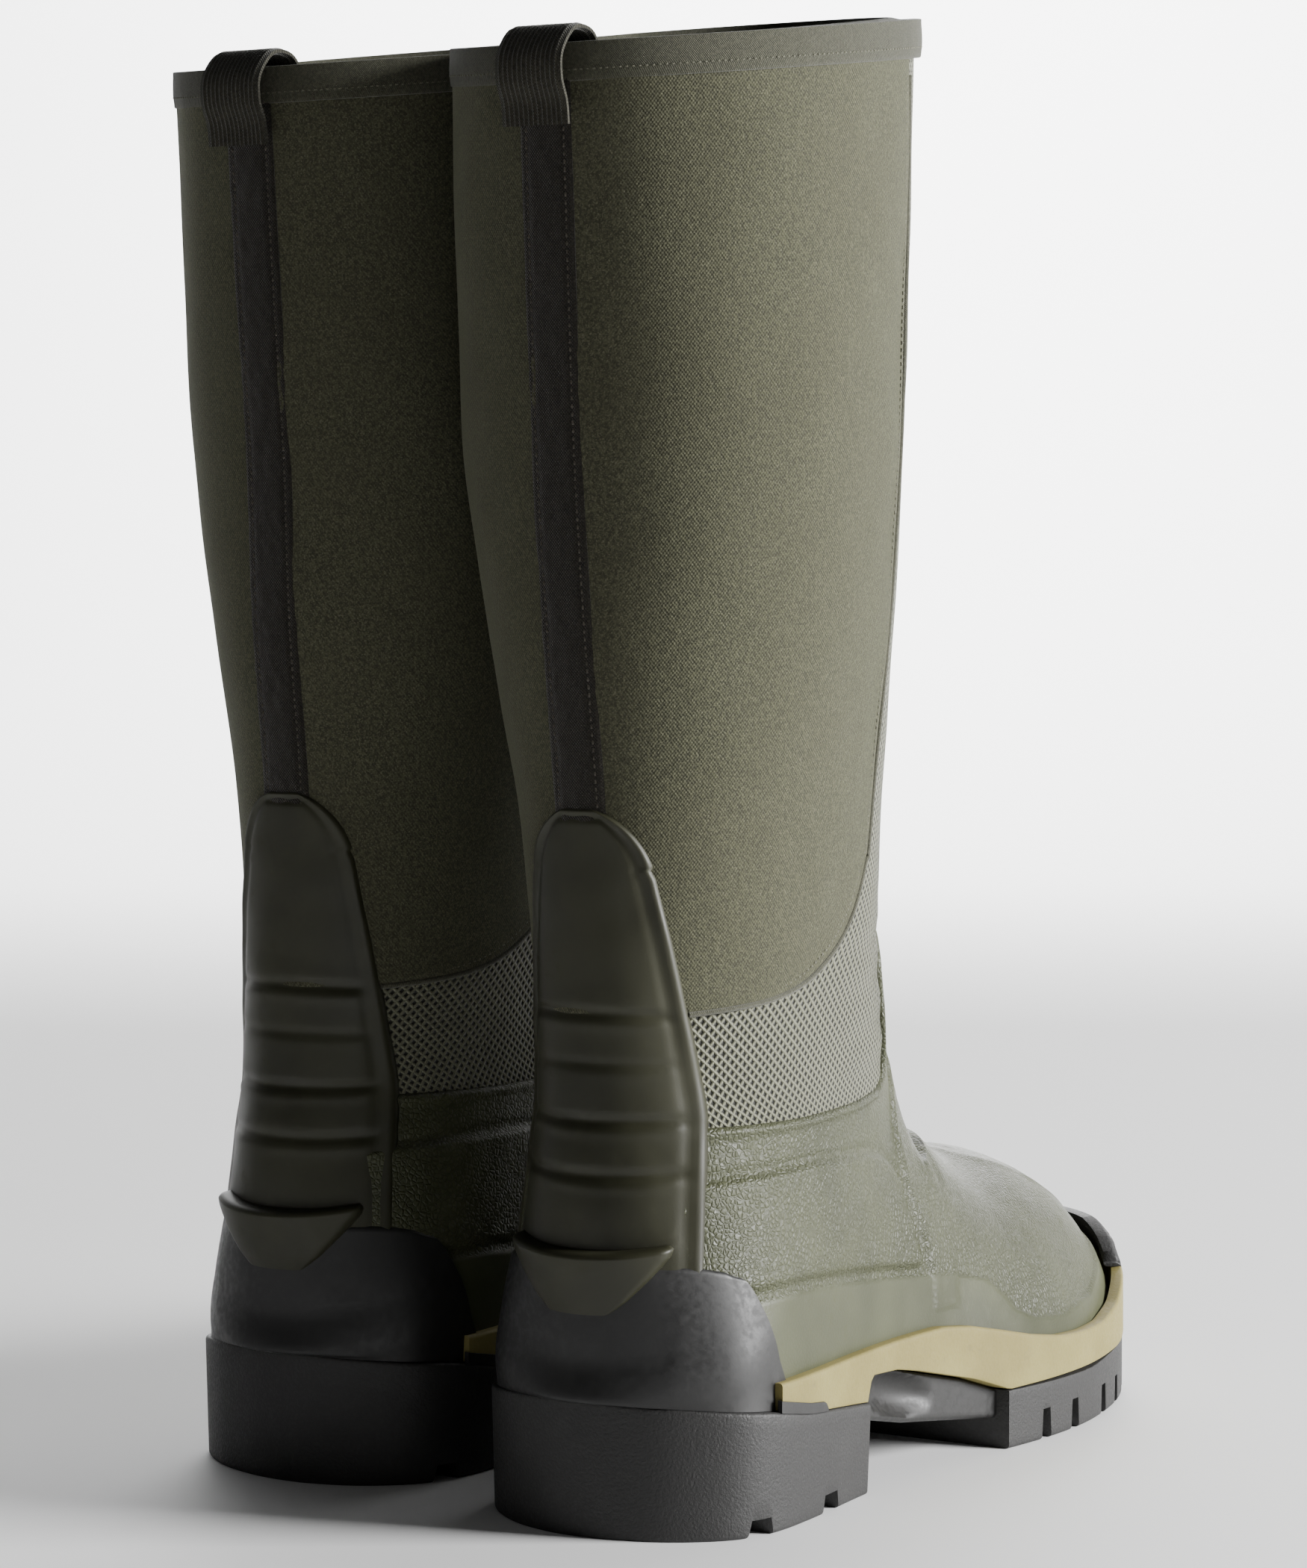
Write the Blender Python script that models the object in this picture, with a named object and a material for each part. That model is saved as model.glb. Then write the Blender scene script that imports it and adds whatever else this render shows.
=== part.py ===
"""A pair of tall insulated rubber boots, each an assembly of separate pieces.

Boot axes, in millimetres: u runs forward from the back of the heel, v runs to the
outer side of the foot and z runs up from the ground. A boot's skin is a fan of
sections: each lies in the plane across the boot that holds a rear (then bottom)
point and a front (then top) point of its side view. The two boots are mirrored.
World axes: toes point along -Y, the right boot stands on the -X side.
"""

import math

import bmesh
import bpy
import numpy as np

MM = 0.001
GAP = 0.3

# Placement of the pair.
RIGHT_X, RIGHT_Y = -52.4, 146.7
LEFT_X, LEFT_Y = 55.0, 131.7
LEFT_TOE_IN = math.radians(2.0)

# Stations of the skin from the rim to the toe: rear u, z; front u, z; half width;
# share of the chord at which it is widest; rear and front roundness; rear and front v.
STATIONS = (
    (-12.0, 411.0, 136.0, 429.0, 60.3, 0.50, 2.05, 2.15, 1.5, 1.5),
    (-8.0, 352.0, 134.0, 366.0, 60.0, 0.50, 2.05, 2.15, 1.0, 1.0),
    (-4.0, 300.0, 131.0, 309.0, 59.2, 0.50, 2.05, 2.15, 0.5, 0.5),
    (-0.5, 251.0, 133.0, 258.0, 53.0, 0.50, 2.00, 2.20, 1.5, 1.5),
    (5.0, 203.0, 134.0, 212.0, 45.5, 0.50, 2.00, 2.35, 2.0, 2.0),
    (6.5, 165.0, 133.0, 176.0, 41.0, 0.50, 2.00, 2.50, 3.0, 3.0),
    (6.5, 140.0, 135.5, 154.0, 39.3, 0.49, 2.00, 2.50, 3.5, 3.0),
    (5.5, 116.0, 143.5, 136.0, 38.5, 0.47, 2.00, 2.40, 4.0, 2.5),
    (3.5, 95.0, 153.5, 121.5, 38.8, 0.42, 2.10, 2.20, 4.0, 1.0),
    (2.5, 72.0, 163.0, 111.0, 40.0, 0.36, 2.20, 2.10, 4.0, -0.5),
    (2.0, 52.0, 172.0, 102.5, 42.0, 0.31, 2.30, 2.00, 4.0, -2.0),
    (3.0, 37.5, 180.5, 95.5, 43.0, 0.25, 2.40, 1.95, 4.0, -3.5),
    (45.0, 37.0, 191.0, 89.0, 43.5, 0.18, 2.40, 1.95, 4.0, -5.0),
    (92.0, 38.5, 201.0, 85.5, 42.0, 0.16, 2.40, 2.00, 0.0, -6.0),
    (130.0, 36.0, 212.0, 83.5, 0.0, 0.16, 2.40, 2.05, 0.0, -6.5),
    (163.0, 30.0, 225.0, 81.5, 0.0, 0.16, 2.40, 2.10, 0.0, -7.0),
    (192.0, 25.0, 239.0, 78.5, 0.0, 0.16, 2.40, 2.15, 0.0, -7.0),
    (220.0, 23.5, 253.0, 74.0, 0.0, 0.16, 2.40, 2.20, 0.0, -7.0),
    (246.0, 24.0, 266.5, 67.0, 0.0, 0.17, 2.40, 2.20, 0.0, -6.5),
    (267.0, 26.0, 278.0, 57.5, 0.0, 0.18, 2.40, 2.10, 0.0, -6.0),
    (281.0, 28.5, 286.0, 48.5, 0.0, 0.20, 2.30, 2.00, 0.0, -5.5),
    (290.5, 31.5, 291.5, 41.0, 0.0, 0.28, 2.20, 2.00, 0.0, -5.0),
    (295.3, 35.0, 295.3, 35.0, 0.0, 0.50, 2.00, 2.00, 0.0, -5.0),
)
HEEL_CORNER, TOE_ROW = 11.0, 22.0
FOOT_FROM = (8.5, 12.0)

# Plan outline of the sole: outer and inner edge from heel to toe, as (u, v).
OUTER_EDGE = (
    (0, 3), (1.5, 15), (7, 30), (18, 43.5), (32, 49), (54, 49.5), (85, 47.5), (112, 47), (140, 49.5),
    (165, 54), (187, 57), (209, 57.5), (229, 55), (251, 49.5), (270, 41), (286, 28), (296, 12), (300, -5),
)
INNER_EDGE = (
    (0, 3), (1, -8), (6, -22), (17, -35), (32, -41), (54, -41.5), (85, -36), (112, -33), (140, -37),
    (170, -44.5), (195, -48.5), (220, -49.5), (245, -47.5), (265, -42.5), (282, -34), (294, -20),
    (300, -5),
)
TOE_TIP_U = 300.0

# Heights along the sole, as (u, z).
HEEL_TOP = ((0, 38.0), (30, 34.5), (50, 31.0), (88, 27.0))
HEEL_FLOOR = ((0, 31.5), (32, 31.5), (33.5, 34.1), (50, 31.0), (88, 27.0))
MIDSOLE_RIM = (
    (32, 41.6), (133, 41.8), (147, 40.1), (161, 37.0), (177, 33.3), (195, 30.3), (210, 29.4), (228, 29.3),
    (246, 32.0), (262, 37.5), (278, 42.0), (300, 44.0),
)
MIDSOLE_FLOOR = (
    (0, 36.1), (50, 36.1), (80, 36.6), (100, 37.4), (125, 35.6), (150, 30.4), (170, 26.4), (190, 24.0),
    (215, 22.7), (245, 23.2), (270, 25.4), (300, 29.5),
)
FOOTBED_UNDER = (
    (0, 44.8), (60, 46.0), (91, 46.6), (129, 45.2), (145, 43.7), (160, 41.0), (180, 36.6), (195, 34.0),
    (212, 31.7), (234, 31.2), (257, 32.2), (275, 34.5),
)
BRIDGE_TOP = ((88, 30.5), (91, 34.3), (107, 33.3), (120, 30.7), (148, 24.0), (165, 18.3))
BRIDGE_UNDER = ((88, 19.0), (93, 20.5), (119, 15.0), (145, 11.5), (165, 9.0))
TREAD_TOP = ((165, 18.0), (216, 17.0), (255, 18.7), (300, 24.7))
TREAD_UNDER = ((165, 0.0), (258, 0.0), (280, 2.5), (300, 8.0))
HEEL_FRONT, TREAD_REAR = 88.0, 165.0

# Slots in the edge of the outsole: u at the middle, width at the ground, width at the top, height,
# depth in from the edge.
HEEL_SLOTS = ((26.5, 11.0, 7.0, 5.0, 8.0), (63.5, 12.0, 8.0, 5.5, 9.0))
TREAD_SLOTS = (
    (185.0, 6.0, 4.0, 9.5, 10.0), (203.0, 6.0, 4.0, 9.5, 10.0), (228.0, 6.0, 4.0, 9.5, 10.0),
    (262.0, 5.0, 3.5, 9.5, 9.0),
)

# Layers of the upper, as depths below the skin; a negative depth stands proud.
RUBBER = (0.0, 1.3)
BOOTIE = (3.6, 6.8)
NEOPRENE = (0.0, 4.6)
SLEEVE = (0.4, 4.8)
LINING = (5.0, 6.4)
WOVEN = (-2.25, -1.15)
ANKLE_WOVEN = (-0.9, 0.1)
TAPE = (-2.3, -1.0)
SPINE = (-3.2, -1.5)
COUNTER = (-2.2, -0.8)
OVERLAY = (-2.4, -1.2)
RAND = (-2.2, -1.35)
STRAP = (-4.1, -3.1)

# Where the pieces of the upper end, as station numbers at the rear and at the front.
SHAFT_FOOT = (5.76, 5.30)
FOOT_COLLAR = (7.05, 6.28)
RIM_TOP = 0.035
BINDING_DROP = 0.17
TAPE_HALF, TAPE_END = 8.0, 4.0
SPINE_SPLIT = (5.80, 6.62)
SHIN_EDGE = 0.39
SLEEVE_GAP = (0.03, 0.13)

SPUR_Z, SPUR_HALF, SPUR_PROUD, SPUR_BACK = (79.0, 75.5, 64.0), (23.0, 22.5, 13.5), (7.5, 7.0, 4.0), -2.9
LOOP_PATH = (
    (-17.1, 390.0), (-18.0, 396.0), (-20.6, 402.5), (-20.0, 410.0), (-13.0, 417.0), (-3.4, 416.0),
    (1.6, 407.0), (1.3, 394.0),
)
LOOP_HALF, LOOP_THICK = 10.5, 1.5

# Lines on the side of the foot, as (u, z) in the side view.
QUARTER_TOP = ((30.0, 99.3), (66.0, 100.1), (104.0, 97.3), (119.0, 93.4), (127.0, 87.0))
QUARTER_LOW = ((36.0, 67.0), (79.0, 65.2), (108.0, 61.6), (120.0, 60.6), (131.0, 59.6))
RAND_TOP = (
    (42.0, 64.2), (79.0, 62.4), (132.0, 57.0), (149.0, 54.6), (166.0, 50.5), (179.0, 40.5), (192.0, 36.4),
    (210.0, 35.8), (233.0, 37.6), (253.0, 43.0), (272.0, 49.5), (285.0, 51.0),
)
RAND_LOW = (
    (46.5, 44.6), (79.0, 44.5), (133.0, 44.8), (161.0, 40.2), (177.0, 36.4), (195.0, 33.2), (228.0, 32.2),
    (246.0, 35.6), (262.0, 42.6), (274.0, 45.6), (289.0, 47.0),
)
STRAP_REAR = ((149.5, 124.0), (137.0, 104.0), (131.0, 86.0), (133.5, 66.0), (134.5, 59.8))
STRAP_FRONT = ((163.0, 111.0), (158.0, 92.0), (154.5, 78.0), (153.0, 66.0), (151.0, 58.5))
HEEL_LIP, CUP_START = 2.0, 34.5
BUMPER_BACK, BUMPER_RISE = 268.0, 9.5

# Ankle hinge, in boot axes.
ANKLE_U, ANKLE_Z = 62.0, 115.0


# ---------------------------------------------------------------- shape of the skin


def smooth(rows, t):
    """Catmull-Rom curve through evenly numbered rows, read at t."""
    rows = np.asarray(rows, float)
    t = np.clip(np.asarray(t, float), 0, len(rows) - 1)
    i = np.minimum(t.astype(int), len(rows) - 2)
    f = (t - i)[..., None]
    ends = np.vstack([2 * rows[0] - rows[1], rows, 2 * rows[-1] - rows[-2]])
    a, b, c, d = (ends[i + k] for k in range(4))
    square, cube = 2 * a - 5 * b + 4 * c - d, 3 * b - a - 3 * c + d
    return 0.5 * (2 * b + (c - a) * f + square * f**2 + cube * f**3)


def edge_curve(points, inset):
    """Dense (u, v) points of one edge of the sole outline, moved inwards."""
    curve = smooth(points, np.linspace(0, len(points) - 1, 240))
    along = np.gradient(curve, axis=0)
    side = 1.0 if curve[120, 1] > 0 else -1.0
    normal = np.stack([along[:, 1], -along[:, 0]], axis=1) * side
    normal /= np.linalg.norm(normal, axis=1)[:, None]
    curve = curve + normal * inset
    return curve[np.argsort(curve[:, 0])]


EDGES = {}


def edges(u, inset=0.0):
    """Outer and inner v of the sole outline at u."""
    if inset not in EDGES:
        EDGES[inset] = edge_curve(OUTER_EDGE, inset), edge_curve(INNER_EDGE, inset)
    outer, inner = EDGES[inset]
    return np.interp(u, outer[:, 0], outer[:, 1]), np.interp(u, inner[:, 0], inner[:, 1])


def height(line, u):
    """Height of a side-view line at u."""
    return np.interp(u, [p[0] for p in line], [p[1] for p in line])


UPPER_INSET, HEEL_INSET = 4.6, 2.6


def upper_edges(u, depth):
    """Outer and inner v of the foot of the skin at u: closer to the sole's edge at the heel."""
    blend = np.clip((np.asarray(u, float) - 8) / 26, 0, 1)
    heel, rest = edges(u, HEEL_INSET + depth), edges(u, UPPER_INSET + depth)
    return tuple(h * (1 - blend) + r * blend for h, r in zip(heel, rest))


def unit(x):
    """Vectors scaled to length 1."""
    return x / np.maximum(np.linalg.norm(x, axis=-1), 1e-9)[..., None]


def side_view(t, depth):
    """Rear and front points (u, z) of the section at t, a depth below the skin, and its settings."""
    row = smooth(STATIONS, t)
    ahead = smooth(STATIONS, t + 0.02) - smooth(STATIONS, t - 0.02)
    rear, front = row[..., 0:2], row[..., 2:4]
    front_in = unit(np.stack([ahead[..., 3], -ahead[..., 2]], axis=-1))
    rear_in = unit(np.stack([-ahead[..., 1], ahead[..., 0]], axis=-1))
    toe = np.clip((rear[..., 0] - 200) / (STATIONS[-1][0] - 200), 0, 1) ** 2
    along = np.clip(HEEL_CORNER + 1 - t, 0, 1)
    up = np.clip((t - HEEL_CORNER + 1.5) / 1.5, 0, 1)
    corner = np.stack([along - toe, up * (1 - toe)], axis=-1)
    turned = np.clip(t - HEEL_CORNER + 2, 0, 1)[..., None]
    rear_in = rear_in * (1 - turned) + corner * turned
    tip = np.clip((t - TOE_ROW + 2) / 2, 0, 1)[..., None]
    front_in = unit(front_in * (1 - tip) + np.array([-1.0, 0.0]) * tip)
    return rear + rear_in * depth[..., None], front + front_in * depth[..., None], row


PROFILES = {}


def foot_profile(depth):
    """The top line and the bottom line of the foot in the side view, as sorted (u, z)."""
    if depth not in PROFILES:
        top_t, low_t = np.linspace(5.4, TOE_ROW, 1500), np.linspace(HEEL_CORNER, TOE_ROW, 700)
        top = side_view(top_t, np.full(top_t.shape, depth))[1]
        low = side_view(low_t, np.full(low_t.shape, depth))[0]
        PROFILES[depth] = tuple(
            (np.maximum.accumulate(line[:, 0]) + np.arange(len(line)) * 1e-9, line[:, 1])
            for line in (top, low)
        )
    return PROFILES[depth]


def foot_v(point, depth, sharpness, ridge, side):
    """v of the foot at a side-view point, from the sole outline and the height up to the top line."""
    u, z = point[..., 0], point[..., 1]
    top_line, low_line = foot_profile(depth)
    top = np.interp(u, *top_line) + SLOPE_ABOVE * np.clip(top_line[0][0] - u, 0, None)
    low = np.interp(u, *low_line)
    rise = np.clip((z - low) / np.maximum(top - low, 1e-6), 0, 1)
    outer, inner = upper_edges(u, depth)
    middle = (outer + inner) / 2 * (1 - rise) + ridge * rise
    half = (outer - inner) / 2 * np.clip(1 - rise**sharpness, 0, 1) ** (1 / sharpness)
    return middle, half


SLOPE_ABOVE = 1.6
# The soft shafts lean on each other, so each is flattened this far in from its centre plane.
INNER_LIMIT = 49.2


def pressed(reach, limit, ease=3.0):
    """Flattens a reach towards the other boot at a limit."""
    over = np.clip(reach - limit + ease, 0, 2 * ease)
    return np.minimum(reach, limit + ease) - over**2 / (4 * ease)


def skin(t, g, depth=0.0):
    """Points of the skin. g is 0 along the front, 1 at the rear or bottom by the outer side and -1 by
    the inner side."""
    t, g = np.broadcast_arrays(np.asarray(t, float), np.asarray(g, float))
    depths = np.broadcast_to(np.asarray(depth, float), t.shape)
    rear, front, row = side_view(t, depths)
    widest, p, q = row[..., 5], row[..., 6], row[..., 7]
    c = 1 - np.abs(g)
    y = np.cos(np.pi / 2 * np.clip(c / widest, 0, 1))
    x = np.sin(np.pi / 2 * np.clip((c - widest) / (1 - widest), 0, 1))
    share = np.where(c <= widest, widest * (1 - y), widest + (1 - widest) * x)
    point = rear + (front - rear) * share[..., None]

    plan = np.clip((t - FOOT_FROM[0]) / (FOOT_FROM[1] - FOOT_FROM[0]), 0, 1)
    plan = plan * plan * (3 - 2 * plan)
    half = np.maximum(row[..., 4] - depths, 1.0)
    low_outer, low_inner = upper_edges(rear[..., 0], float(depths.flat[0]))
    opened = np.where(t > HEEL_CORNER, np.clip((low_outer - low_inner) / 2 / half, 0, 0.98), 0.0)
    low_width = np.clip(1 - (1 - opened**p) * y**p, 0, 1) ** (1 / p)
    width = np.where(c <= widest, low_width, np.clip(1 - x**q, 0, 1) ** (1 / q))
    middle = row[..., 8] + (row[..., 9] - row[..., 8]) * share
    foot_middle, foot_half = foot_v(point, float(depths.flat[0]), q, row[..., 9], g)
    foot_half = np.where(t <= HEEL_CORNER, foot_half * np.clip(width * 1.6, 0, 1), foot_half)
    foot_half = np.where((c >= 1) | (t >= TOE_ROW), 0.0, foot_half)
    foot_middle = np.where(t >= TOE_ROW, row[..., 9], foot_middle)
    half_now = half * width * (1 - plan) + foot_half * plan
    v = middle * (1 - plan) + foot_middle * plan + np.sign(g) * half_now
    v = -pressed(-v, INNER_LIMIT - depths)
    return np.stack([point[..., 0], v, point[..., 1]], axis=-1)


def column(t, width):
    """The |g| at which the skin near the rear is this far from its middle."""
    row = smooth(STATIONS, t)
    p = row[..., 6]
    y = (1 - np.clip(np.asarray(width) / row[..., 4], 0, 1) ** p) ** (1 / p)
    return 1 - row[..., 5] * np.arccos(y) * 2 / np.pi


def row_at(z, front=False):
    """The station number at which the rear, or the front, of the skin is at height z."""
    t = np.linspace(0, HEEL_CORNER, 400)
    heights = smooth(STATIONS, t)[:, 3 if front else 1]
    return np.interp(-np.asarray(z, float), -heights, t)


def locate(u, z):
    """(t, |g|) of the skin point seen at u, z in the side view."""
    t = np.linspace(0, TOE_ROW - 0.3, 900)
    rear, front, row = side_view(t, np.zeros(t.shape))
    chord = front - rear
    off = np.array([u, z]) - rear
    cross = chord[:, 0] * off[:, 1] - chord[:, 1] * off[:, 0]
    i = int(np.argmax((cross[:-1] >= 0) & (cross[1:] < 0) | (cross[:-1] < 0) & (cross[1:] >= 0)))
    f = cross[i] / (cross[i] - cross[i + 1])
    t0 = t[i] + f * (t[i + 1] - t[i])
    rear, front, row = side_view(np.array(t0), np.zeros(()))
    chord = front - rear
    share = float(np.clip(np.dot(np.array([u, z]) - rear, chord) / np.dot(chord, chord), 0, 1))
    w = float(row[5])
    if share <= w:
        c = w * math.acos(1 - share / w) * 2 / math.pi
    else:
        c = w + (1 - w) * math.asin((share - w) / (1 - w)) * 2 / math.pi
    return float(t0), 1 - c


def side_line(points, count):
    """(t, |g|) along a smooth side-view line through a few (u, z) points."""
    line = smooth(points, np.linspace(0, len(points) - 1, count))
    return np.array([locate(u, z) for u, z in line])


# ---------------------------------------------------------------- meshes

MATERIALS = {
    "rubber_olive": ((0.105, 0.120, 0.068), 0.42),
    "rubber_black": ((0.030, 0.030, 0.028), 0.60),
    "rubber_charcoal": ((0.045, 0.043, 0.042), 0.48),
    "rubber_tan": ((0.440, 0.360, 0.150), 0.55),
    "neoprene_olive": ((0.100, 0.098, 0.060), 0.90),
    "neoprene_black": ((0.020, 0.020, 0.020), 0.85),
    "woven_grey_green": ((0.200, 0.205, 0.130), 0.60),
    "fleece_black": ((0.015, 0.015, 0.015), 0.95),
    "webbing_brown": ((0.035, 0.030, 0.022), 0.85),
    "binding_olive": ((0.085, 0.085, 0.055), 0.75),
    "fibre_board": ((0.300, 0.240, 0.160), 0.80),
    "foam_grey": ((0.120, 0.120, 0.120), 0.90),
}


def material(name):
    """The material of one slot, made once."""
    found = bpy.data.materials.get(name)
    if found:
        return found
    colour, roughness = MATERIALS[name]
    made = bpy.data.materials.new(name)
    made.use_nodes = True
    shader = made.node_tree.nodes["Principled BSDF"]
    shader.inputs["Base Color"].default_value = (*colour, 1.0)
    shader.inputs["Roughness"].default_value = roughness
    return made


def world_of(side, points):
    """Boot axes in millimetres to world axes in metres."""
    points = np.asarray(points, float)
    u, v, z = points[..., 0], points[..., 1], points[..., 2]
    if side == "right":
        x, y = RIGHT_X - v, RIGHT_Y - u
    else:
        c, s = math.cos(LEFT_TOE_IN), math.sin(LEFT_TOE_IN)
        x, y = LEFT_X + v * c - u * s, LEFT_Y - u * c - v * s
    return np.stack([x, y, z], axis=-1) * MM


class Solid:
    """Gathers points and faces in boot axes, then makes one closed, outward-facing object."""

    def __init__(self):
        self.points = []
        self.faces = []

    def add(self, grid):
        grid = np.asarray(grid, float).reshape(-1, 3)
        first = len(self.points)
        self.points.extend(grid)
        return first

    def strip(self, first, second, closed=False):
        """Quads between two equally long rows of vertex numbers."""
        count = len(first)
        for j in range(count if closed else count - 1):
            k = (j + 1) % count
            self.faces.append((first[j], first[k], second[k], second[j]))

    def make(self, name, side, slot, crease=35):
        mesh = bpy.data.meshes.new(name)
        world = world_of(side, self.points)
        mesh.from_pydata([tuple(p) for p in world], [], [tuple(int(i) for i in f) for f in self.faces])
        work = bmesh.new()
        work.from_mesh(mesh)
        bmesh.ops.remove_doubles(work, verts=work.verts, dist=2e-6)
        bmesh.ops.dissolve_degenerate(work, edges=work.edges, dist=2e-6)
        loose = [edge for edge in work.edges if not edge.link_faces]
        bmesh.ops.delete(work, geom=loose, context="EDGES")
        bmesh.ops.triangulate(work, faces=work.faces)
        bmesh.ops.recalc_face_normals(work, faces=work.faces)
        if work.calc_volume(signed=True) < 0:
            bmesh.ops.reverse_faces(work, faces=work.faces)
        work.to_mesh(mesh)
        work.free()
        mesh.shade_smooth()
        mesh.set_sharp_from_angle(angle=math.radians(crease))
        mesh.materials.append(material(slot))
        made = bpy.data.objects.new(name, mesh)
        bpy.context.scene.collection.objects.link(made)
        return made


def rows_of(first, shape):
    return [np.arange(first + i * shape[1], first + (i + 1) * shape[1]) for i in range(shape[0])]


def tube(outer, inner):
    """A wall between two grids of rings, closed by a ring of faces at both ends."""
    solid = Solid()
    out = rows_of(solid.add(outer), outer.shape)
    ins = rows_of(solid.add(inner), inner.shape)
    for a, b in zip(out[:-1], out[1:]):
        solid.strip(a, b, True)
    for a, b in zip(ins[:-1], ins[1:]):
        solid.strip(b, a, True)
    solid.strip(ins[0], out[0], True)
    solid.strip(out[-1], ins[-1], True)
    return solid


def panel(outer, inner):
    """A thick sheet between two grids. A row whose two ends meet is closed there."""
    solid = Solid()
    out = rows_of(solid.add(outer), outer.shape)
    ins = rows_of(solid.add(inner), inner.shape)
    met = [np.allclose(row[0], row[-1], atol=1e-4) for row in outer]
    for i in range(len(out) - 1):
        solid.strip(out[i], out[i + 1])
        solid.strip(ins[i + 1], ins[i])
        if met[i] and met[i + 1]:
            continue
        for j in (0, -1):
            solid.faces.append((out[i][j], out[i + 1][j], ins[i + 1][j], ins[i][j]))
    solid.strip(ins[0], out[0])
    solid.strip(out[-1], ins[-1])
    return solid


def loft(loops):
    """A solid through equally long closed loops, capped at both ends."""
    solid = Solid()
    rows = rows_of(solid.add(loops), loops.shape)
    for a, b in zip(rows[:-1], rows[1:]):
        solid.strip(a, b, True)
    solid.faces.append(tuple(rows[0][::-1]))
    solid.faces.append(tuple(rows[-1]))
    return solid


def eased(low, high, count):
    """Stations that crowd towards both ends, for round heels and toes."""
    return low + (high - low) * (1 - np.cos(np.linspace(0, np.pi, count))) / 2


# ---------------------------------------------------------------- the upper

AROUND = 24


def ring_g():
    """Columns of a section, all round."""
    return -1 + 2 * np.arange(AROUND) / AROUND


def frontness(g, reach=0.42):
    """1 along the front of the boot, falling smoothly to 0 at |g| = reach."""
    f = np.clip(1 - np.abs(g) / reach, 0, 1)
    return f * f * (3 - 2 * f)


def shaft_foot(g):
    """Station of the shaft's lower edge in each column."""
    return SHAFT_FOOT[0] + (SHAFT_FOOT[1] - SHAFT_FOOT[0]) * frontness(g)


def foot_collar(g):
    """Station of the rubber foot's top edge in each column."""
    return FOOT_COLLAR[0] + (FOOT_COLLAR[1] - FOOT_COLLAR[0]) * frontness(g)


def between(low, high, rows):
    """Grid of station numbers whose first row is low and last row is high, for each column."""
    f = np.linspace(0, 1, rows)[:, None]
    return np.asarray(low)[None, :] * (1 - f) + np.asarray(high)[None, :] * f


def shaft_tube(layer, rows=5):
    """One layer of the shaft, open at the rim and at the ankle."""
    g = ring_g()
    t = between(np.full(AROUND, RIM_TOP), shaft_foot(g), rows)
    return tube(skin(t, g[None, :], layer[0]), skin(t, g[None, :], layer[1]))


def ankle_tube(layer, rows=3):
    """One layer of the soft part between the shaft and the rubber foot."""
    g = ring_g()
    t = between(shaft_foot(g) + SLEEVE_GAP[0], foot_collar(g) - SLEEVE_GAP[1], rows)
    return tube(skin(t, g[None, :], layer[0]), skin(t, g[None, :], layer[1]))


FOOT_COLUMNS = 20
FOOT_ROWS = np.array([0, 0.15, 0.3, 0.45, 0.6, 0.78, 1.0])
SOLE_ROWS = np.array([11.12, 11.4, 12, 13, 14.2, 15.5, 16.8, 18, 19, 20, 21, 21.6, TOE_ROW])


def foot_rows(g, sole_rows=SOLE_ROWS):
    """Station numbers from the collar to the toe, the heel corner among them."""
    collar = foot_collar(g)
    upper = collar[None, :] + (HEEL_CORNER - collar[None, :]) * FOOT_ROWS[:, None]
    lower = np.repeat(sole_rows[:, None], len(g), axis=1)
    return np.vstack([upper, lower])


def rubber_foot():
    """The moulded rubber shell of the foot."""
    g = np.linspace(-1, 1, FOOT_COLUMNS + 1)
    t = foot_rows(g)
    return panel(skin(t, g[None, :], RUBBER[0]), skin(t, g[None, :], RUBBER[1]))


def sock(depth, count=FOOT_COLUMNS, across=3):
    """Closed rings of the foot: round the upper and back under the sole."""
    g = np.linspace(-1, 1, count + 1)
    t = foot_rows(g)
    over = skin(t, g[None, :], depth)
    f = np.linspace(0, 1, across + 1)[1:-1][None, :, None]
    under = over[:, -1:, :] * (1 - f) + over[:, :1, :] * f
    return np.concatenate([over, under], axis=1)


def foot_bootie():
    """The closed soft sock inside the rubber shell."""
    return tube(sock(BOOTIE[0]), sock(BOOTIE[1]))


def shin_panel():
    """The woven strip up the front of the shaft."""
    f = np.linspace(-1, 1, 11)
    down = np.linspace(0, 1, 8)
    edge = SHIN_EDGE + 0.10 * np.clip((down - 0.8) / 0.2, 0, 1) ** 2
    g = edge[:, None] * f[None, :]
    t = RIM_TOP + BINDING_DROP + (shaft_foot(g) - RIM_TOP - BINDING_DROP) * down[:, None]
    return panel(skin(t, g, WOVEN[0]), skin(t, g, WOVEN[1]))


def rear_patch(t, width, layer, columns=7):
    """A sheet across the rear seam, with this half width at each station."""
    f = np.linspace(-1, 1, columns)
    t = np.asarray(t, float)[:, None]
    g_size = column(t, np.abs(f)[None, :] * np.asarray(width, float)[:, None])
    g = np.where(f[None, :] < 0, -g_size, g_size)
    return panel(skin(t, g, layer[0]), skin(t, g, layer[1]))


def back_tape():
    """The flat tape up the back of the shaft."""
    t = np.linspace(RIM_TOP + BINDING_DROP, TAPE_END - 0.06, 9)
    return rear_patch(t, np.full(9, TAPE_HALF), TAPE, 4)


# Half width of the rear spine at each height.
SPINE_SHAPE = (
    (203.0, 4.0), (201.0, 9.0), (196.0, 14.5), (183.0, 19.5), (165.0, 22.0), (139.0, 25.0),
    (114.0, 27.5), (80.0, 29.5),
)


def spine(low_t, high_t, rows):
    """Part of the rubber strip up the back, between two stations."""
    t = np.linspace(low_t, high_t, rows)
    z = smooth(STATIONS, t)[:, 1]
    shape = SPINE_SHAPE[::-1]
    return rear_patch(t, np.interp(z, [p[0] for p in shape], [p[1] for p in shape]), SPINE)


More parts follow.
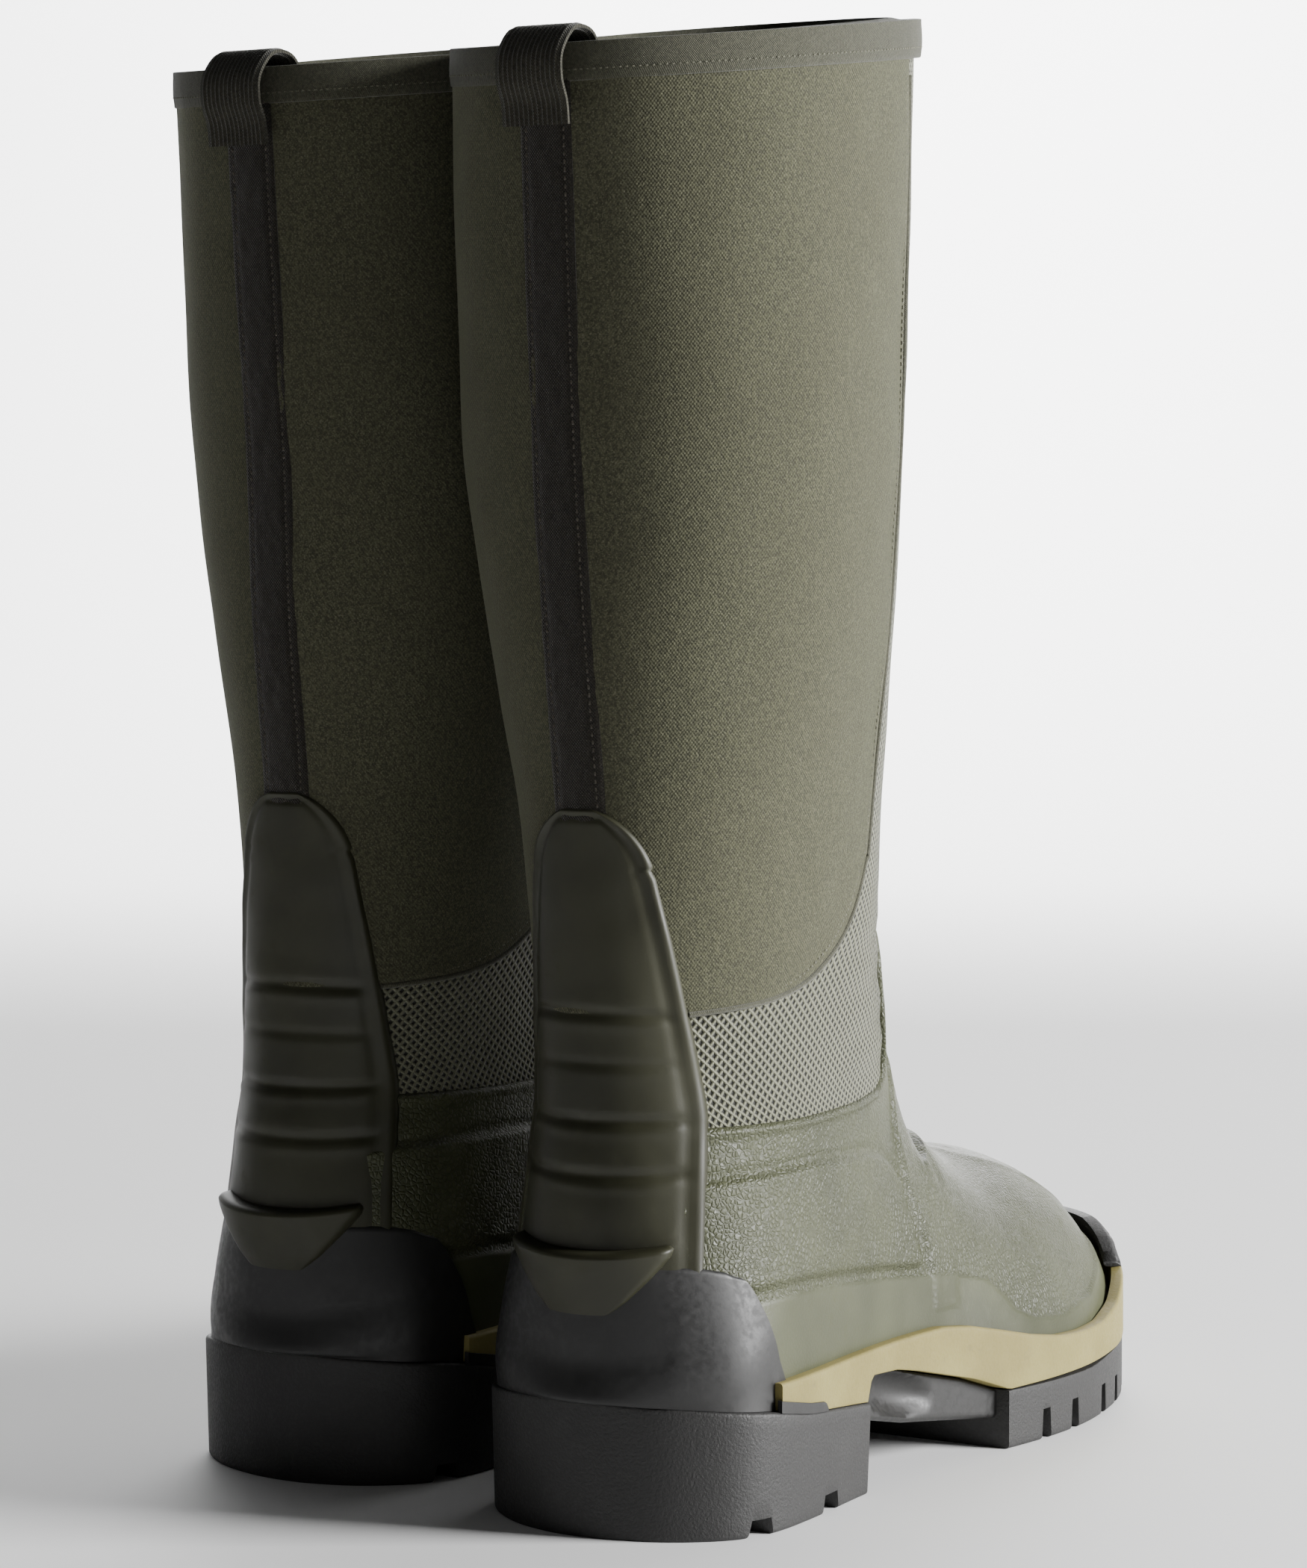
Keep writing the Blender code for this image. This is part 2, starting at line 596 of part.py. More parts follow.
def around_heel(low_z, top_z, front_line, columns, rows, layer):
    """A sheet round the back of the heel to a front edge given as (z, u)."""
    f = np.linspace(-1, 1, columns)
    turn = 1 - np.cos(np.pi / 2 * np.abs(f))
    grid = np.zeros((rows, columns, 2))
    for i, down in enumerate(np.linspace(0, 1, rows)):
        for j, share in enumerate(turn):
            z = top_z[0] + (top_z[1] - top_z[0]) * share
            z = z + (low_z - z) * down
            back = float(smooth(STATIONS, row_at(z))[0])
            front = float(np.interp(z, [p[0] for p in front_line], [p[1] for p in front_line]))
            grid[i, j] = locate(back + (front - back) * share + 1e-3, z)
    g = np.where(f[None, :] < 0, -grid[..., 1], grid[..., 1])
    return panel(skin(grid[..., 0], g, layer[0]), skin(grid[..., 0], g, layer[1]))


def heel_counter():
    """The smooth cup round the back of the heel."""
    front_line = ((38, 32.8), (50, 33.5), (60, 32.0), (70, 28.5))
    return around_heel(40.4, (76.5, 70.0), front_line, 15, 4, COUNTER)


def side_panel(top, low, columns, rows, layer, sign):
    """A sheet on one side of the foot between two side-view lines."""
    upper, lower = side_line(top, columns), side_line(low, columns)
    f = np.linspace(0, 1, rows)[:, None, None]
    grid = upper[None] * (1 - f) + lower[None] * f
    t, g = grid[..., 0], sign * grid[..., 1]
    return panel(skin(t, g, layer[0]), skin(t, g, layer[1]))


def side_rand():
    """The smooth strip above the midsole, from the counter round the toe to the counter."""
    columns = 26
    upper, lower = side_line(RAND_TOP, columns), side_line(RAND_LOW, columns)
    upper[-1, 1] = lower[-1, 1] = 0.0
    f = np.linspace(0, 1, 4)[:, None, None]
    one = upper[None] * (1 - f) + lower[None] * f
    t = np.concatenate([one[..., 0], one[:, -2::-1, 0]], axis=1)
    g = np.concatenate([one[..., 1], -one[:, -2::-1, 1]], axis=1)
    return panel(skin(t, g, RAND[0]), skin(t, g, RAND[1]))


def instep_strap():
    """A raised band over the instep and down both sides to the rand."""
    columns = 12
    rear, front = side_line(STRAP_REAR, columns), side_line(STRAP_FRONT, columns)
    rear[0, 1] = front[0, 1] = 0.0
    f = np.linspace(0, 1, 5)[:, None, None]
    one = rear[None] * (1 - f) + front[None] * f
    t = np.concatenate([one[:, ::-1, 0], one[:, 1:, 0]], axis=1)
    g = np.concatenate([-one[:, ::-1, 1], one[:, 1:, 1]], axis=1)
    return panel(skin(t, g, STRAP[0]), skin(t, g, STRAP[1]))


def kick_spur():
    """A ledge across the heel: proud and wide on top, running out below."""
    columns, rows = 7, 3
    f = np.linspace(-1, 1, columns)
    t = row_at(np.array(SPUR_Z))
    width = np.array(SPUR_HALF)
    proud = np.array(SPUR_PROUD)[:, None] * (1 - 0.35 * f[None, :] ** 2)
    g_size = column(t[:, None], np.abs(f)[None, :] * width[:, None])
    g = np.where(f[None, :] < 0, -g_size, g_size)
    t = np.broadcast_to(t[:, None], (rows, columns))
    return panel(skin(t, g, -proud), skin(t, g, SPUR_BACK))


def top_binding():
    """A channel over the rim: outer leg, top and inner leg round every station of the ring."""
    g = ring_g()
    drop = RIM_TOP + BINDING_DROP - 0.012
    roof = RIM_TOP - 0.012
    profile = (
        (drop, -0.6), (drop, -1.8), (0.0, -1.8), (0.0, 7.9), (drop, 7.9), (drop, 6.8), (roof, 6.8),
        (roof, -0.6),
    )
    loops = np.array([[skin(t, a, d) for t, d in profile] for a in g])
    solid = Solid()
    rows = rows_of(solid.add(loops), loops.shape)
    for a, b in zip(rows, rows[1:] + rows[:1]):
        solid.strip(a, b, True)
    return solid


def pull_loop():
    """Webbing that arches over the rear rim, sewn outside and inside, with a finger gap."""
    path = smooth(LOOP_PATH, np.linspace(0, len(LOOP_PATH) - 1, 15))
    along = np.gradient(path, axis=0)
    normal = np.stack([-along[:, 1], along[:, 0]], axis=1)
    normal /= np.linalg.norm(normal, axis=1)[:, None]
    back = path - normal * LOOP_THICK
    outline = np.vstack([path, back[::-1]])
    middle = STATIONS[0][8]
    loops = [
        np.stack([outline[:, 0], np.full(len(outline), middle + v), outline[:, 1]], axis=1)
        for v in (-LOOP_HALF, LOOP_HALF)
    ]
    solid = Solid()
    rows = rows_of(solid.add(np.array(loops)), (2, len(outline), 3))
    solid.strip(rows[0], rows[1], True)
    count = len(path)
    for row in rows:
        for i in range(count - 1):
            solid.faces.append((row[i], row[i + 1], row[-2 - i], row[-1 - i]))
    return solid


# ---------------------------------------------------------------- the sole


SOLE_U = (
    0.6, 2.5, 5.0, 8.0, 12.0, 18.0, 26.0, 32.0, CUP_START - 0.4, CUP_START, 50.0, 66.0, 80.0, 85.0,
    HEEL_FRONT, 91.0, 98.0, 107.0, 120.0, 134.0, 148.0, 157.0, TREAD_REAR, 177.0, 190.0, 203.0, 218.0,
    233.0, 247.0, 259.0, 269.0, 278.0, 285.0, 291.0, 294.5, 296.0, 298.0, 299.6,
)


def sole_loft(u, outline):
    """A solid along the sole. outline gives the (v, z) points across it at one u, outer side first."""
    loops = np.array([[(a, v, z) for v, z in outline(a)] for a in u])
    return loft(loops)


def heel_block():
    """The heel, with a low rim that the midsole and the heel cup sit in."""
    def across(u):
        outer, inner = edges(u, 0.0)
        top_outer, top_inner = edges(u, -1.0)
        rim, floor = height(HEEL_TOP, u), height(HEEL_FLOOR, u)
        a, b = edges(max(u, HEEL_LIP + 0.6), HEEL_LIP)
        return (
            (outer, 0), (top_outer, rim - 3), (top_outer - 0.5, rim), (a, rim), (a - 0.5, floor - 0.02),
            (b + 0.5, floor - 0.02), (b, rim), (top_inner + 0.5, rim), (top_inner, rim - 3), (inner, 0),
        )

    u = [a for a in SOLE_U if a <= HEEL_FRONT]
    return sole_loft(u, across)


def arch_bridge():
    """The narrow piece of outsole under the arch."""
    def across(u):
        outer, inner = edges(u, 5.0)
        top, low = height(BRIDGE_TOP, u), height(BRIDGE_UNDER, u)
        return ((outer, top), (inner, top), (inner, low), (outer, low))

    u = [HEEL_FRONT + GAP] + [a for a in SOLE_U if HEEL_FRONT < a < TREAD_REAR] + [TREAD_REAR - GAP]
    return sole_loft(u, across)


def forefoot_tread():
    """The outsole under the front of the foot."""
    def across(u):
        outer, inner = edges(u, 0.0)
        top, low = height(TREAD_TOP, u), height(TREAD_UNDER, u)
        return ((outer, top), (inner, top), (inner, low), (outer, low))

    u = [a for a in SOLE_U if a >= TREAD_REAR]
    return sole_loft(u, across)


def support(u):
    """Top of whatever outsole piece carries the midsole at u."""
    if u < HEEL_FRONT + GAP:
        return max(height(HEEL_FLOOR, u), height(BRIDGE_TOP, HEEL_FRONT) if u > HEEL_FRONT - 3 else 0.0)
    return height(BRIDGE_TOP, u) if u < TREAD_REAR else height(TREAD_TOP, u)


def midsole():
    """A cup: a plate under the foot with a rim round the arch and forefoot."""

    def across(u):
        under, floor = support(u) + 0.4, height(MIDSOLE_FLOOR, u)
        rim = height(MIDSOLE_RIM, u)
        if u < CUP_START:
            outer, inner = edges(max(u, 6.0), HEEL_LIP + 3.2)
            a, b = outer - 1.0, inner + 1.0
            rim = floor
        else:
            outer, inner = edges(u, -0.2)
            wall = UPPER_INSET - 2.7
            a, b = edges(min(u, TOE_TIP_U - wall - 0.6), wall)
            if u > TOE_TIP_U - wall - 0.5:
                floor = rim - 0.01
                a, b = outer * 0.6 + inner * 0.4, outer * 0.4 + inner * 0.6
        return (
            (outer, under), (outer, rim), (a, rim), (a, floor), (b, floor), (b, rim), (inner, rim),
            (inner, under),
        )

    u = [5.9] + [a for a in SOLE_U if a > 6]
    return sole_loft(u, across)


def slots(shapes, low):
    """Wedge cutters that reach in from both edges of the sole."""
    solid = Solid()
    for u, wide, narrow, tall, deep in shapes:
        outer, inner = edges(u, 0.0)
        floor = height(low, u)
        for edge, way in ((outer, 1), (inner, -1)):
            near, far = edge - way * deep, edge + way * 6
            loop = [(u - wide / 2, floor - 3), (u + wide / 2, floor - 3), (u + narrow / 2, floor + tall)]
            loop.append((u - narrow / 2, floor + tall))
            start = solid.add([(a, v, z) for v in (near, far) for a, z in loop])
            ends = [[start + k for k in range(4)], [start + 4 + k for k in range(4)]]
            solid.strip(ends[0], ends[1], closed=True)
            solid.faces.extend([tuple(ends[0][::-1]), tuple(ends[1])])
    return solid


def plate(rear, front, inset, line, low, high):
    """A flat piece in the sole, between two heights above a line."""
    u = [rear] + [a for a in SOLE_U if rear + 1 < a < front - 1] + [front]

    def across(a):
        outer, inner = edges(a, inset)
        floor = height(line, a)
        return ((outer, floor + high), (inner, floor + high), (inner, floor + low), (outer, floor + low))

    return sole_loft(u, across)


def toe_bumper():
    """The dark rand that stands on the midsole rim round the toe."""
    outer = edge_curve(OUTER_EDGE, 0.2)
    inner = edge_curve(INNER_EDGE, 0.2)
    ring = np.vstack([inner[inner[:, 0] > BUMPER_BACK + 18], outer[outer[:, 0] > BUMPER_BACK][::-1]])
    span = np.concatenate([[0], np.cumsum(np.linalg.norm(np.diff(ring, axis=0), axis=1))])
    f = np.linspace(-1, 1, 15)
    at = (f + 1) / 2 * span[-1]
    line = np.stack([np.interp(at, span, ring[:, 0]), np.interp(at, span, ring[:, 1])], axis=1)
    along = unit(np.gradient(line, axis=0))
    inward = np.stack([-along[:, 1], along[:, 0]], axis=1)
    inward *= np.sign(np.sum(inward * (np.array([BUMPER_BACK, -5.0]) - line), axis=1))[:, None]
    low = height(MIDSOLE_RIM, line[:, 0]) + GAP
    rise = BUMPER_RISE * np.clip(1.15 - 1.15 * np.abs(f) ** 3, 0.1, 1)
    loops = []
    for p, n, z, h in zip(line, inward, low, rise):
        section = ((0.0, 0.0), (0.4, 0.5 * h), (0.6 + 0.2 * h, h), (1.7 + 0.2 * h, h), (1.4, 0.0))
        loops.append([(*(p + n * d), z + up) for d, up in section])
    return loft(np.array(loops))


# ---------------------------------------------------------------- assembly


def clear_scene():
    """Empties the start-up scene."""
    for thing in list(bpy.data.objects):
        bpy.data.objects.remove(thing, do_unlink=True)


def cut(target, cutter):
    """Cuts the cutter out of the target and keeps it hidden."""
    cutter.hide_render = True
    cutter.display_type = "WIRE"
    change = target.modifiers.new("slots", "BOOLEAN")
    change.operation = "DIFFERENCE"
    change.solver = "EXACT"
    change.object = cutter


def build_boot(side):
    """Every piece of one boot."""
    def node(solid, name, slot):
        return solid.make(f"{side}_{name}", side, slot)

    node(shaft_tube(NEOPRENE), "shaft", "neoprene_olive")
    node(shaft_tube(LINING), "shaft_lining", "fleece_black")
    node(ankle_tube(SLEEVE), "ankle_sleeve", "neoprene_black")
    node(ankle_tube(ANKLE_WOVEN), "ankle_panel", "woven_grey_green")
    node(rubber_foot(), "rubber_foot", "rubber_olive")
    node(foot_bootie(), "foot_bootie", "neoprene_black")
    node(shin_panel(), "shin_panel", "woven_grey_green")
    node(back_tape(), "back_tape", "webbing_brown")
    node(spine(4.0, SPINE_SPLIT[0], 6), "rear_spine_upper", "rubber_olive")
    node(spine(SPINE_SPLIT[1], float(row_at(80.5)), 5), "rear_spine_lower", "rubber_olive")
    node(heel_counter(), "heel_counter", "rubber_charcoal")
    node(kick_spur(), "kick_spur", "rubber_olive")
    node(top_binding(), "top_binding", "binding_olive")
    node(pull_loop(), "pull_loop", "webbing_brown")
    node(instep_strap(), "instep_strap", "rubber_olive")
    node(side_rand(), "side_rand", "rubber_olive")
    for sign, where in ((1, "outer"), (-1, "inner")):
        quarter = side_panel(QUARTER_TOP, QUARTER_LOW, 8, 5, OVERLAY, sign)
        node(quarter, f"quarter_{where}", "rubber_olive")
    level = ((0, 0.0), (300, 0.0))
    heel = node(heel_block(), "heel_block", "rubber_black")
    cut(heel, node(slots(HEEL_SLOTS, level), "heel_slots", "rubber_black"))
    node(arch_bridge(), "arch_bridge", "rubber_charcoal")
    tread = node(forefoot_tread(), "forefoot_tread", "rubber_black")
    cut(tread, node(slots(TREAD_SLOTS, TREAD_UNDER), "tread_slots", "rubber_black"))
    node(midsole(), "midsole", "rubber_tan")
    node(toe_bumper(), "toe_bumper", "rubber_black")
    node(plate(9.5, 282.0, 9.0, MIDSOLE_FLOOR, 0.3, 1.5), "insole_board", "fibre_board")
    node(plate(18.0, 272.0, 17.0, FOOTBED_UNDER, 0.0, 4.0), "footbed", "foam_grey")


clear_scene()
for boot in ("right", "left"):
    build_boot(boot)
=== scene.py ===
"""Looks for a pair of tall insulated rubber boots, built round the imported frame.

Boot axes, in millimetres: u runs forward from the back of the heel, v to the outer side of the
foot, z up from the ground. g is 0 along the front of the skin and 1 at the rear or bottom.
"""

import math

import bmesh
import bpy
import numpy as np
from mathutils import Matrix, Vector


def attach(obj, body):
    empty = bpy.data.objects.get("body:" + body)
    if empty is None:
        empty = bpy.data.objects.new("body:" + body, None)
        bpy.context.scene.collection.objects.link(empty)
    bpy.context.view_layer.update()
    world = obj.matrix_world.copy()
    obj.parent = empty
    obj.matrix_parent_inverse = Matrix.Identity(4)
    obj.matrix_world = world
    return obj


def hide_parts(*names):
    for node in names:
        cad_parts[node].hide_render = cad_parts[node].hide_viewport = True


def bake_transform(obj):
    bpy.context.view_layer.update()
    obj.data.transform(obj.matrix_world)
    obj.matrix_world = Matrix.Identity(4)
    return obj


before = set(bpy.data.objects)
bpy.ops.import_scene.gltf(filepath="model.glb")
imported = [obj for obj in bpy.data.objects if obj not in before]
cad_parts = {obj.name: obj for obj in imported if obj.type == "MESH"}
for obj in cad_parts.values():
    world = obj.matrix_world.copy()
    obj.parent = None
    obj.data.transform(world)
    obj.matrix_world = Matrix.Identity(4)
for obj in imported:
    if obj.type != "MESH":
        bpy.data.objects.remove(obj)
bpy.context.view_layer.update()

MM = 0.001

# Placement of the pair.
RIGHT_X, RIGHT_Y = -52.4, 146.7
LEFT_X, LEFT_Y = 55.0, 131.7
LEFT_TOE_IN = math.radians(2.0)

# Stations of the skin from the rim to the toe: rear u, z; front u, z; half width;
# share of the chord at which it is widest; rear and front roundness; rear and front v.
STATIONS = (
    (-12.0, 411.0, 136.0, 429.0, 60.3, 0.50, 2.05, 2.15, 1.5, 1.5),
    (-8.0, 352.0, 134.0, 366.0, 60.0, 0.50, 2.05, 2.15, 1.0, 1.0),
    (-4.0, 300.0, 131.0, 309.0, 59.2, 0.50, 2.05, 2.15, 0.5, 0.5),
    (-0.5, 251.0, 133.0, 258.0, 53.0, 0.50, 2.00, 2.20, 1.5, 1.5),
    (5.0, 203.0, 134.0, 212.0, 45.5, 0.50, 2.00, 2.35, 2.0, 2.0),
    (6.5, 165.0, 133.0, 176.0, 41.0, 0.50, 2.00, 2.50, 3.0, 3.0),
    (6.5, 140.0, 135.5, 154.0, 39.3, 0.49, 2.00, 2.50, 3.5, 3.0),
    (5.5, 116.0, 143.5, 136.0, 38.5, 0.47, 2.00, 2.40, 4.0, 2.5),
    (3.5, 95.0, 153.5, 121.5, 38.8, 0.42, 2.10, 2.20, 4.0, 1.0),
    (2.5, 72.0, 163.0, 111.0, 40.0, 0.36, 2.20, 2.10, 4.0, -0.5),
    (2.0, 52.0, 172.0, 102.5, 42.0, 0.31, 2.30, 2.00, 4.0, -2.0),
    (3.0, 37.5, 180.5, 95.5, 43.0, 0.25, 2.40, 1.95, 4.0, -3.5),
    (45.0, 37.0, 191.0, 89.0, 43.5, 0.18, 2.40, 1.95, 4.0, -5.0),
    (92.0, 38.5, 201.0, 85.5, 42.0, 0.16, 2.40, 2.00, 0.0, -6.0),
    (130.0, 36.0, 212.0, 83.5, 0.0, 0.16, 2.40, 2.05, 0.0, -6.5),
    (163.0, 30.0, 225.0, 81.5, 0.0, 0.16, 2.40, 2.10, 0.0, -7.0),
    (192.0, 25.0, 239.0, 78.5, 0.0, 0.16, 2.40, 2.15, 0.0, -7.0),
    (220.0, 23.5, 253.0, 74.0, 0.0, 0.16, 2.40, 2.20, 0.0, -7.0),
    (246.0, 24.0, 266.5, 67.0, 0.0, 0.17, 2.40, 2.20, 0.0, -6.5),
    (267.0, 26.0, 278.0, 57.5, 0.0, 0.18, 2.40, 2.10, 0.0, -6.0),
    (281.0, 28.5, 286.0, 48.5, 0.0, 0.20, 2.30, 2.00, 0.0, -5.5),
    (290.5, 31.5, 291.5, 41.0, 0.0, 0.28, 2.20, 2.00, 0.0, -5.0),
    (295.3, 35.0, 295.3, 35.0, 0.0, 0.50, 2.00, 2.00, 0.0, -5.0),
)
# Station numbers: the corner of the heel, the tip of the toe, and where the foot takes over.
HEEL_CORNER, TOE_ROW = 11.0, 22.0
FOOT_FROM = (8.5, 12.0)

# Plan outline of the sole: outer and inner edge from heel to toe, as (u, v).
OUTER_EDGE = (
    (0, 3), (1.5, 15), (7, 30), (18, 43.5), (32, 49), (54, 49.5), (85, 47.5), (112, 47), (140, 49.5),
    (165, 54), (187, 57), (209, 57.5), (229, 55), (251, 49.5), (270, 41), (286, 28), (296, 12), (300, -5),
)
INNER_EDGE = (
    (0, 3), (1, -8), (6, -22), (17, -35), (32, -41), (54, -41.5), (85, -36), (112, -33), (140, -37),
    (170, -44.5), (195, -48.5), (220, -49.5), (245, -47.5), (265, -42.5), (282, -34), (294, -20),
    (300, -5),
)

# Heights along the sole, as (u, z).
HEEL_TOP = ((0, 38.0), (30, 34.5), (50, 31.0), (88, 27.0))
HEEL_FLOOR = ((0, 31.5), (32, 31.5), (33.5, 34.1), (50, 31.0), (88, 27.0))
MIDSOLE_RIM = (
    (32, 41.6), (133, 41.8), (147, 40.1), (161, 37.0), (177, 33.3), (195, 30.3), (210, 29.4), (228, 29.3),
    (246, 32.0), (262, 37.5), (278, 42.0), (300, 44.0),
)
MIDSOLE_FLOOR = (
    (0, 36.1), (50, 36.1), (80, 36.6), (100, 37.4), (125, 35.6), (150, 30.4), (170, 26.4), (190, 24.0),
    (215, 22.7), (245, 23.2), (270, 25.4), (300, 29.5),
)
FOOTBED_UNDER = (
    (0, 44.8), (60, 46.0), (91, 46.6), (129, 45.2), (145, 43.7), (160, 41.0), (180, 36.6), (195, 34.0),
    (212, 31.7), (234, 31.2), (257, 32.2), (275, 34.5),
)
BRIDGE_TOP = ((88, 30.5), (91, 34.3), (107, 33.3), (120, 30.7), (148, 24.0), (165, 18.3))
BRIDGE_UNDER = ((88, 19.0), (93, 20.5), (119, 15.0), (145, 11.5), (165, 9.0))
TREAD_TOP = ((165, 18.0), (216, 17.0), (255, 18.7), (300, 24.7))
TREAD_UNDER = ((165, 0.0), (258, 0.0), (280, 2.5), (300, 8.0))
HEEL_FRONT, TREAD_REAR = 88.0, 165.0

# Slots in the edge of the outsole: u at the middle, width at the ground, width at the top, height,
# depth in from the edge.
HEEL_SLOTS = ((26.5, 11.0, 7.0, 5.0, 8.0), (63.5, 12.0, 8.0, 5.5, 9.0))
TREAD_SLOTS = (
    (185.0, 6.0, 4.0, 9.5, 10.0), (203.0, 6.0, 4.0, 9.5, 10.0), (228.0, 6.0, 4.0, 9.5, 10.0),
    (262.0, 5.0, 3.5, 9.5, 9.0), (276.0, 4.5, 3.0, 8.5, 8.0), (245.0, 5.5, 3.6, 9.0, 9.0),
)

# Half width of the rear tape, and the |g| at which the neoprene ends beside the shin.
TAPE_HALF = 8.0
SHIN_EDGE = 0.39

# The pull loop in the side view, as (u, z).
LOOP_PATH = (
    (-17.1, 390.0), (-18.0, 396.0), (-20.6, 402.5), (-20.0, 410.0), (-13.0, 417.0), (-3.4, 416.0),
    (1.6, 407.0), (1.3, 394.0),
)
LOOP_HALF, LOOP_THICK = 10.5, 1.5

# Where the midsole cup starts, and where the toe rand starts and how high it stands.
CUP_START = 34.5
BUMPER_BACK, BUMPER_RISE = 268.0, 9.5

# How far the skin of the foot stands inside the outline of the sole, and at the heel.
UPPER_INSET, HEEL_INSET = 4.6, 2.6

# Rise per mm of the foot's top line behind its first point.
SLOPE_ABOVE = 1.6

# The soft shafts lean on each other, so each is flattened this far in from its centre plane.
INNER_LIMIT = 49.2

# Points closer together than this, in mm, are joined.
MERGE = 0.02


# ---------------------------------------------------------------- shape of the skin


def unit(x):
    """Vectors scaled to length 1."""
    return x / np.maximum(np.linalg.norm(x, axis=-1), 1e-9)[..., None]


def away_from(points, u, v):
    """Level directions from an upright line at u, v to the points."""
    return unit((points - np.array([u, v, 0.0])) * np.array([1.0, 1.0, 0.0]))


def smooth(rows, t):
    """Catmull-Rom curve through evenly numbered rows, read at t."""
    rows = np.asarray(rows, float)
    t = np.clip(np.asarray(t, float), 0, len(rows) - 1)
    i = np.minimum(t.astype(int), len(rows) - 2)
    f = (t - i)[..., None]
    ends = np.vstack([2 * rows[0] - rows[1], rows, 2 * rows[-1] - rows[-2]])
    a, b, c, d = (ends[i + k] for k in range(4))
    square, cube = 2 * a - 5 * b + 4 * c - d, 3 * b - a - 3 * c + d
    return 0.5 * (2 * b + (c - a) * f + square * f**2 + cube * f**3)


def edge_curve(points, inset):
    """Dense (u, v) points of one edge of the sole outline, moved inwards."""
    curve = smooth(points, np.linspace(0, len(points) - 1, 240))
    along = np.gradient(curve, axis=0)
    side = 1.0 if curve[120, 1] > 0 else -1.0
    normal = np.stack([along[:, 1], -along[:, 0]], axis=1) * side
    normal /= np.linalg.norm(normal, axis=1)[:, None]
    curve = curve + normal * inset
    return curve[np.argsort(curve[:, 0])]


EDGES = {}


def edges(u, inset=0.0):
    """Outer and inner v of the sole outline at u."""
    if inset not in EDGES:
        EDGES[inset] = edge_curve(OUTER_EDGE, inset), edge_curve(INNER_EDGE, inset)
    outer, inner = EDGES[inset]
    return np.interp(u, outer[:, 0], outer[:, 1]), np.interp(u, inner[:, 0], inner[:, 1])


def height(line, u):
    """Height of a side-view line at u."""
    return np.interp(u, [p[0] for p in line], [p[1] for p in line])


def upper_edges(u, depth):
    """Outer and inner v of the foot of the skin at u: closer to the sole's edge at the heel."""
    blend = np.clip((np.asarray(u, float) - 8) / 26, 0, 1)
    heel, rest = edges(u, HEEL_INSET + depth), edges(u, UPPER_INSET + depth)
    return tuple(h * (1 - blend) + r * blend for h, r in zip(heel, rest))


def side_view(t, depth):
    """Rear and front points (u, z) of the section at t, a depth below the skin, and its settings."""
    row = smooth(STATIONS, t)
    ahead = smooth(STATIONS, t + 0.02) - smooth(STATIONS, t - 0.02)
    rear, front = row[..., 0:2], row[..., 2:4]
    front_in = unit(np.stack([ahead[..., 3], -ahead[..., 2]], axis=-1))
    rear_in = unit(np.stack([-ahead[..., 1], ahead[..., 0]], axis=-1))
    toe = np.clip((rear[..., 0] - 200) / (STATIONS[-1][0] - 200), 0, 1) ** 2
    along = np.clip(HEEL_CORNER + 1 - t, 0, 1)
    up = np.clip((t - HEEL_CORNER + 1.5) / 1.5, 0, 1)
    corner = np.stack([along - toe, up * (1 - toe)], axis=-1)
    turned = np.clip(t - HEEL_CORNER + 2, 0, 1)[..., None]
    rear_in = rear_in * (1 - turned) + corner * turned
    tip = np.clip((t - TOE_ROW + 2) / 2, 0, 1)[..., None]
    front_in = unit(front_in * (1 - tip) + np.array([-1.0, 0.0]) * tip)
    return rear + rear_in * depth[..., None], front + front_in * depth[..., None], row


PROFILES = {}


def foot_profile(depth):
    """The top line and the bottom line of the foot in the side view, as sorted (u, z)."""
    if depth not in PROFILES:
        top_t, low_t = np.linspace(5.4, TOE_ROW, 1500), np.linspace(HEEL_CORNER, TOE_ROW, 700)
        top = side_view(top_t, np.full(top_t.shape, depth))[1]
        low = side_view(low_t, np.full(low_t.shape, depth))[0]
        PROFILES[depth] = tuple(
            (np.maximum.accumulate(line[:, 0]) + np.arange(len(line)) * 1e-9, line[:, 1])
            for line in (top, low)
        )
    return PROFILES[depth]


def foot_v(point, depth, sharpness, ridge):
    """v of the foot at a side-view point, from the sole outline and the height up to the top line."""
    u, z = point[..., 0], point[..., 1]
    top_line, low_line = foot_profile(depth)
    top = np.interp(u, *top_line) + SLOPE_ABOVE * np.clip(top_line[0][0] - u, 0, None)
    low = np.interp(u, *low_line)
    rise = np.clip((z - low) / np.maximum(top - low, 1e-6), 0, 1)
    outer, inner = upper_edges(u, depth)
    middle = (outer + inner) / 2 * (1 - rise) + ridge * rise
    half = (outer - inner) / 2 * np.clip(1 - rise**sharpness, 0, 1) ** (1 / sharpness)
    return middle, half


def pressed(reach, limit, ease=3.0):
    """Flattens a reach towards the other boot at a limit."""
    over = np.clip(reach - limit + ease, 0, 2 * ease)
    return np.minimum(reach, limit + ease) - over**2 / (4 * ease)


